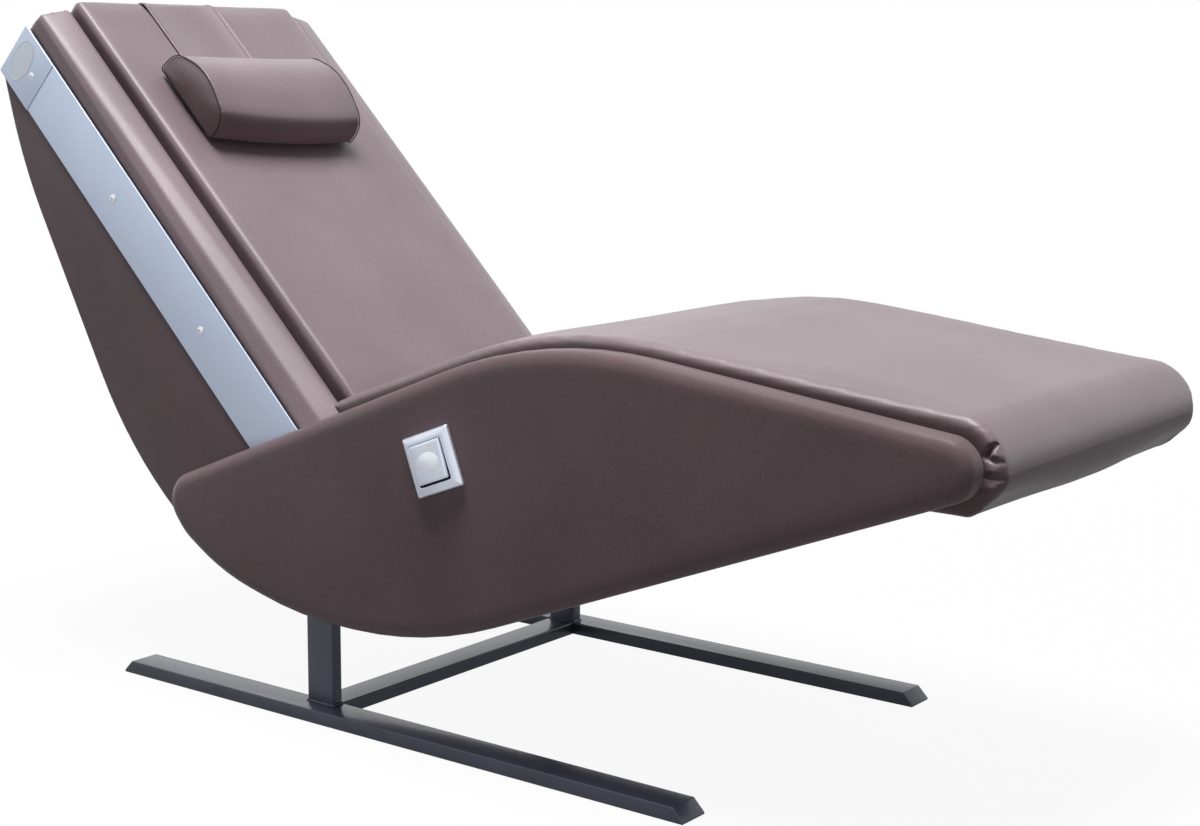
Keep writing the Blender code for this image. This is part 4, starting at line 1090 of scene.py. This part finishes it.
def makeScrew(name, up, side, values, node):
    # pan head with a cross recess
    face = values["face"] + values["thick"]
    rows = [[Vector((radius * x, radius * y, height)) for x, y in circle(40)]
            for radius, height in screwHead["profile"]]
    size = Vector(screwHead["recess"])
    head = bpy.data.objects.new(name, ringMesh(name, rows))
    scene.collection.objects.link(head)
    tools = []
    for turn in (screwHead["turn"], screwHead["turn"] + pi / 2):
        work = bmesh.new()
        bmesh.ops.create_cube(work, size=1)
        for vertex in work.verts:
            spot = vertex.co * size
            narrow = screwHead["narrowing"] if spot.z < 0 else 1.0
            vertex.co = Vector((spot.x * narrow, spot.y * narrow, spot.z + screwHead["recessMiddle"]))
        shape = bpy.data.meshes.new("recess")
        work.to_mesh(shape)
        work.free()
        tool = bpy.data.objects.new("recess", shape)
        tool.rotation_euler = (0, 0, turn)
        scene.collection.objects.link(tool)
        cut = head.modifiers.new("recess", "BOOLEAN")
        cut.operation = "DIFFERENCE"
        cut.solver = "EXACT"
        cut.object = tool
        tools.append(tool)
    settle(head)
    for tool in tools:
        bpy.data.objects.remove(tool)
    data = head.data
    bpy.data.objects.remove(head)
    turn = Matrix.Rotation(backAngle, 4, "Y") @ Matrix.Translation((-up, side * face, values["screwOut"]))
    data.transform(turn @ Matrix.Rotation(side * -pi / 2, 4, "X"))
    return newPiece(name, data, "bright_steel", replaced=[node], shading=25)


def makeTrim(label, node, side, values):
    inner = side * values["face"]
    outer = side * (values["face"] + values["thick"])
    seam = values["seam"] + values["gap"]
    raised = outer + side * values["plateLift"]
    for name, replaced, foot, head, rear, face in (
            ("trimStrip", "trim_strip_", values["low"], values["seam"], values["rear"], outer),
            ("trimEnd", "trim_end_", seam, values["end"], values["plateRear"], raised)):
        corners = [(foot, rear), (head, rear), (head, values["front"]), (foot, values["front"])]
        platePiece(name + label, corners, *sorted((inner, face)), values["edge"], "aluminium",
                   replaced=[replaced + node])
    for number, up in enumerate(values["screws"], 1):
        makeScrew(f"trimScrew{label}{number}", up, side, values, f"trim_screw_{node}_{number}")
    badge = values["badge"]
    base = outer + side * (values["plateLift"] - 0.0002)
    rows = []
    border, thick = badge["border"], badge["thick"]
    for draw, rise in ((0, 0), (0, thick * 0.6), (0.0004, thick), (border, thick),
                       (border + 0.0005, thick * 0.55), (border + 0.004, thick * 0.6),
                       (border + 0.010, thick * 0.75)):
        tall, wide = badge["halfUp"] - draw, badge["halfOut"] - draw
        rows.append([onBack(badge["up"] + tall * x, badge["out"] + wide * y, base + side * rise)
                     for x, y in circle(64)])
    name = "bareBadge" + label
    newPiece(name, ringMesh(name, rows), "aluminium", shading=30, finish=badgeSatin)


for label, node, side in sides:
    makeTrim(label, node, side, trim)
print("trim done")


# Wall switch: rounded frame, rocker with a bare oval, drawn with X along the panel, Y up it and Z out of it
switch = {                      # rocks holds draw, height and corner radius
    "spot": (0.262, -0.3381, 0.418), "turn": radians(21), "half": 0.042, "window": 0.0290, "lift": 0.0003,
    "depth": 0.0105, "roll": 0.0112, "rocker": 0.0272, "shift": 0.0006, "sunk": 0.0056, "tilt": radians(3.5),
    "oval": (0.0195, 0.0132),
    "rocks": [(0.0006, 0.0035, 0.0020), (0.0, 0.0042, 0.0024), (0.0, 0.0078, 0.0024),
              (0.0004, 0.0086, 0.0023), (0.0013, 0.0090, 0.0020), (0.0040, 0.0091, 0.0012)],
}


def squareRing(half, height, corner, steps=4):
    ring = []
    for quarter, (x, y) in enumerate(((1, 1), (-1, 1), (-1, -1), (1, -1))):
        for k in range(steps + 1):
            angle = pi / 2 * quarter + pi / 2 * k / steps
            turn = Vector((cos(angle), sin(angle), 0)) * corner
            ring.append(Vector((x * (half - corner), y * (half - corner), height)) + turn)
    return ring


def makeSwitch(values):
    turn = Matrix.Translation(values["spot"]) @ Matrix.Rotation(-values["turn"], 4, "Y")
    turn = turn @ Matrix.Rotation(pi / 2, 4, "X")
    half, lift, top = values["half"], values["lift"], values["lift"] + values["depth"]
    window = values["window"]
    brow = lift + 0.003
    rows = [squareRing(half - 0.001, lift, 0.002), squareRing(half, lift + 0.001, 0.0026)]
    for k in range(7):
        angle = pi / 2 * k / 6
        rows.append(squareRing(half - values["roll"] * (1 - cos(angle)), brow + (top - brow) * sin(angle),
                               0.0026 - 0.0008 * k / 6))
    rows += [squareRing(window + 0.0012, top, 0.0036), squareRing(window + 0.0004, top - 0.0003, 0.0031),
             squareRing(window, top - 0.0010, 0.0028), squareRing(window, lift + 0.0008, 0.0028)]
    data = ringMesh("switchFrame", rows, capped=False)
    work = bmesh.new()
    work.from_mesh(data)
    work.verts.ensure_lookup_table()
    count = len(rows[0])
    first = work.verts[:count]
    last = work.verts[-count:]
    for i in range(count):
        work.faces.new((first[i], last[i], last[(i + 1) % count], first[(i + 1) % count]))
    bmesh.ops.recalc_face_normals(work, faces=work.faces)
    work.to_mesh(data)
    work.free()
    data.transform(turn)
    newPiece("switchFrame", data, "silver_plastic", replaced=["switch_frame"], shading=40)
    rows = [squareRing(values["rocker"] - draw, height, corner) for draw, height, corner in values["rocks"]]
    data = ringMesh("switchRocker", rows)
    tilt = turn @ Matrix.Translation((0, values["shift"], top - values["sunk"]))
    tilt = tilt @ Matrix.Rotation(-values["tilt"], 4, "X")
    data.transform(tilt)
    newPiece("switchRocker", data, "silver_plastic", "rocker", ["switch_rocker"], 40)
    wide, tall = values["oval"]
    rows = [[Vector(((wide - draw) * x, (tall - draw) * y, height)) for x, y in circle(48)]
            for draw, height in ((0, 0.0088), (0, 0.0092), (0.0004, 0.0094))]
    data = ringMesh("bareOval", rows)
    data.transform(tilt)
    newPiece("bareOval", data, "silver_plastic", "rocker", shading=40, finish=ovalSatin)


makeSwitch(switch)
print("switch done")


# Steel base: flat tubes with soft corners, mitred rail ends, and weld beads
base = {"railTop": (-0.378, 0.645), "height": 0.020, "inner": 0.276, "width": 0.050, "edge": 0.0022,
        "postTop": 0.330, "bead": 0.0024}


def softBar(name, outline, lowY, highY, edge, nodes):
    # a bar with an outline in X and Z between two Y planes
    outline = rounded([(x, z, edge) for x, z in outline], turnStep=radians(22))
    data = rolledPlate(name, outline, lowY, highY, edge * 0.7, edge * 0.7, 3)
    newPiece(name, data, "base_steel", replaced=nodes, shading=30)


def tubeOutline(halfWidth, low, high, edge):
    corners = ((-halfWidth, low), (halfWidth, low), (halfWidth, high), (-halfWidth, high))
    return rounded([(a, b, edge) for a, b in corners], turnStep=radians(22))


def weldBead(name, halfWidth, low, high, size, level):
    # an uneven bead round the foot of a post
    path = []
    corners = [Vector(spot) for spot in ((-halfWidth, low, level), (halfWidth, low, level),
                                         (halfWidth, high, level), (-halfWidth, high, level))]
    for a, b in zip(corners, corners[1:] + corners[:1]):
        path += [a + (b - a) * k / 14 for k in range(14)]
    middle, halfDepth = (low + high) / 2, (high - low) / 2
    rows = []
    for spot in path:
        away = Vector((round(spot.x / halfWidth * 0.55), round((spot.y - middle) / halfDepth * 0.55), 0))
        away = away.normalized() if away.length else Vector((1, 0, 0))
        radius = size * (0.8 + 0.45 * abs(noise.noise(spot * 240)))
        rows.append([spot + away * (across * radius) + Vector((0, 0, rise * radius))
                     for across, rise in circle(8)])
    newPiece(name, ringMesh(name, rows + [rows[0]], capped=False), "base_steel", shading=180)


def makeBase(values):
    height, half, inner, edge = values["height"], values["width"] / 2, values["inner"], values["edge"]
    headX, footX = values["railTop"]
    rail = [(headX - height, 0), (footX + height, 0), (footX, height), (headX, height)]
    for label, node, side in sides:
        low, high = sorted((side * inner, side * (inner + values["width"])))
        softBar("rail" + label, rail, low, high, edge, ["rail_" + node])
        low, high = sorted((side * inner, side * (inner + height)))
        name = "post" + label
        rows = [[Vector((p.x, p.y, z)) for p in tubeOutline(half, low, high, edge)]
                for z in (height + 0.0003, values["postTop"])]
        newPiece(name, ringMesh(name, rows), "base_steel", replaced=["post_" + node], shading=30)
        weldBead("weld" + label, half, low, high, values["bead"], height + 0.0006)
    end = inner - 0.0003
    rows = [[Vector((p.x, y, p.y)) for p in tubeOutline(half, 0, height, edge)] for y in (-end, end)]
    newPiece("crossbar", ringMesh("crossbar", rows), "base_steel", replaced=["crossbar"], shading=30)


makeBase(base)
print("base done")
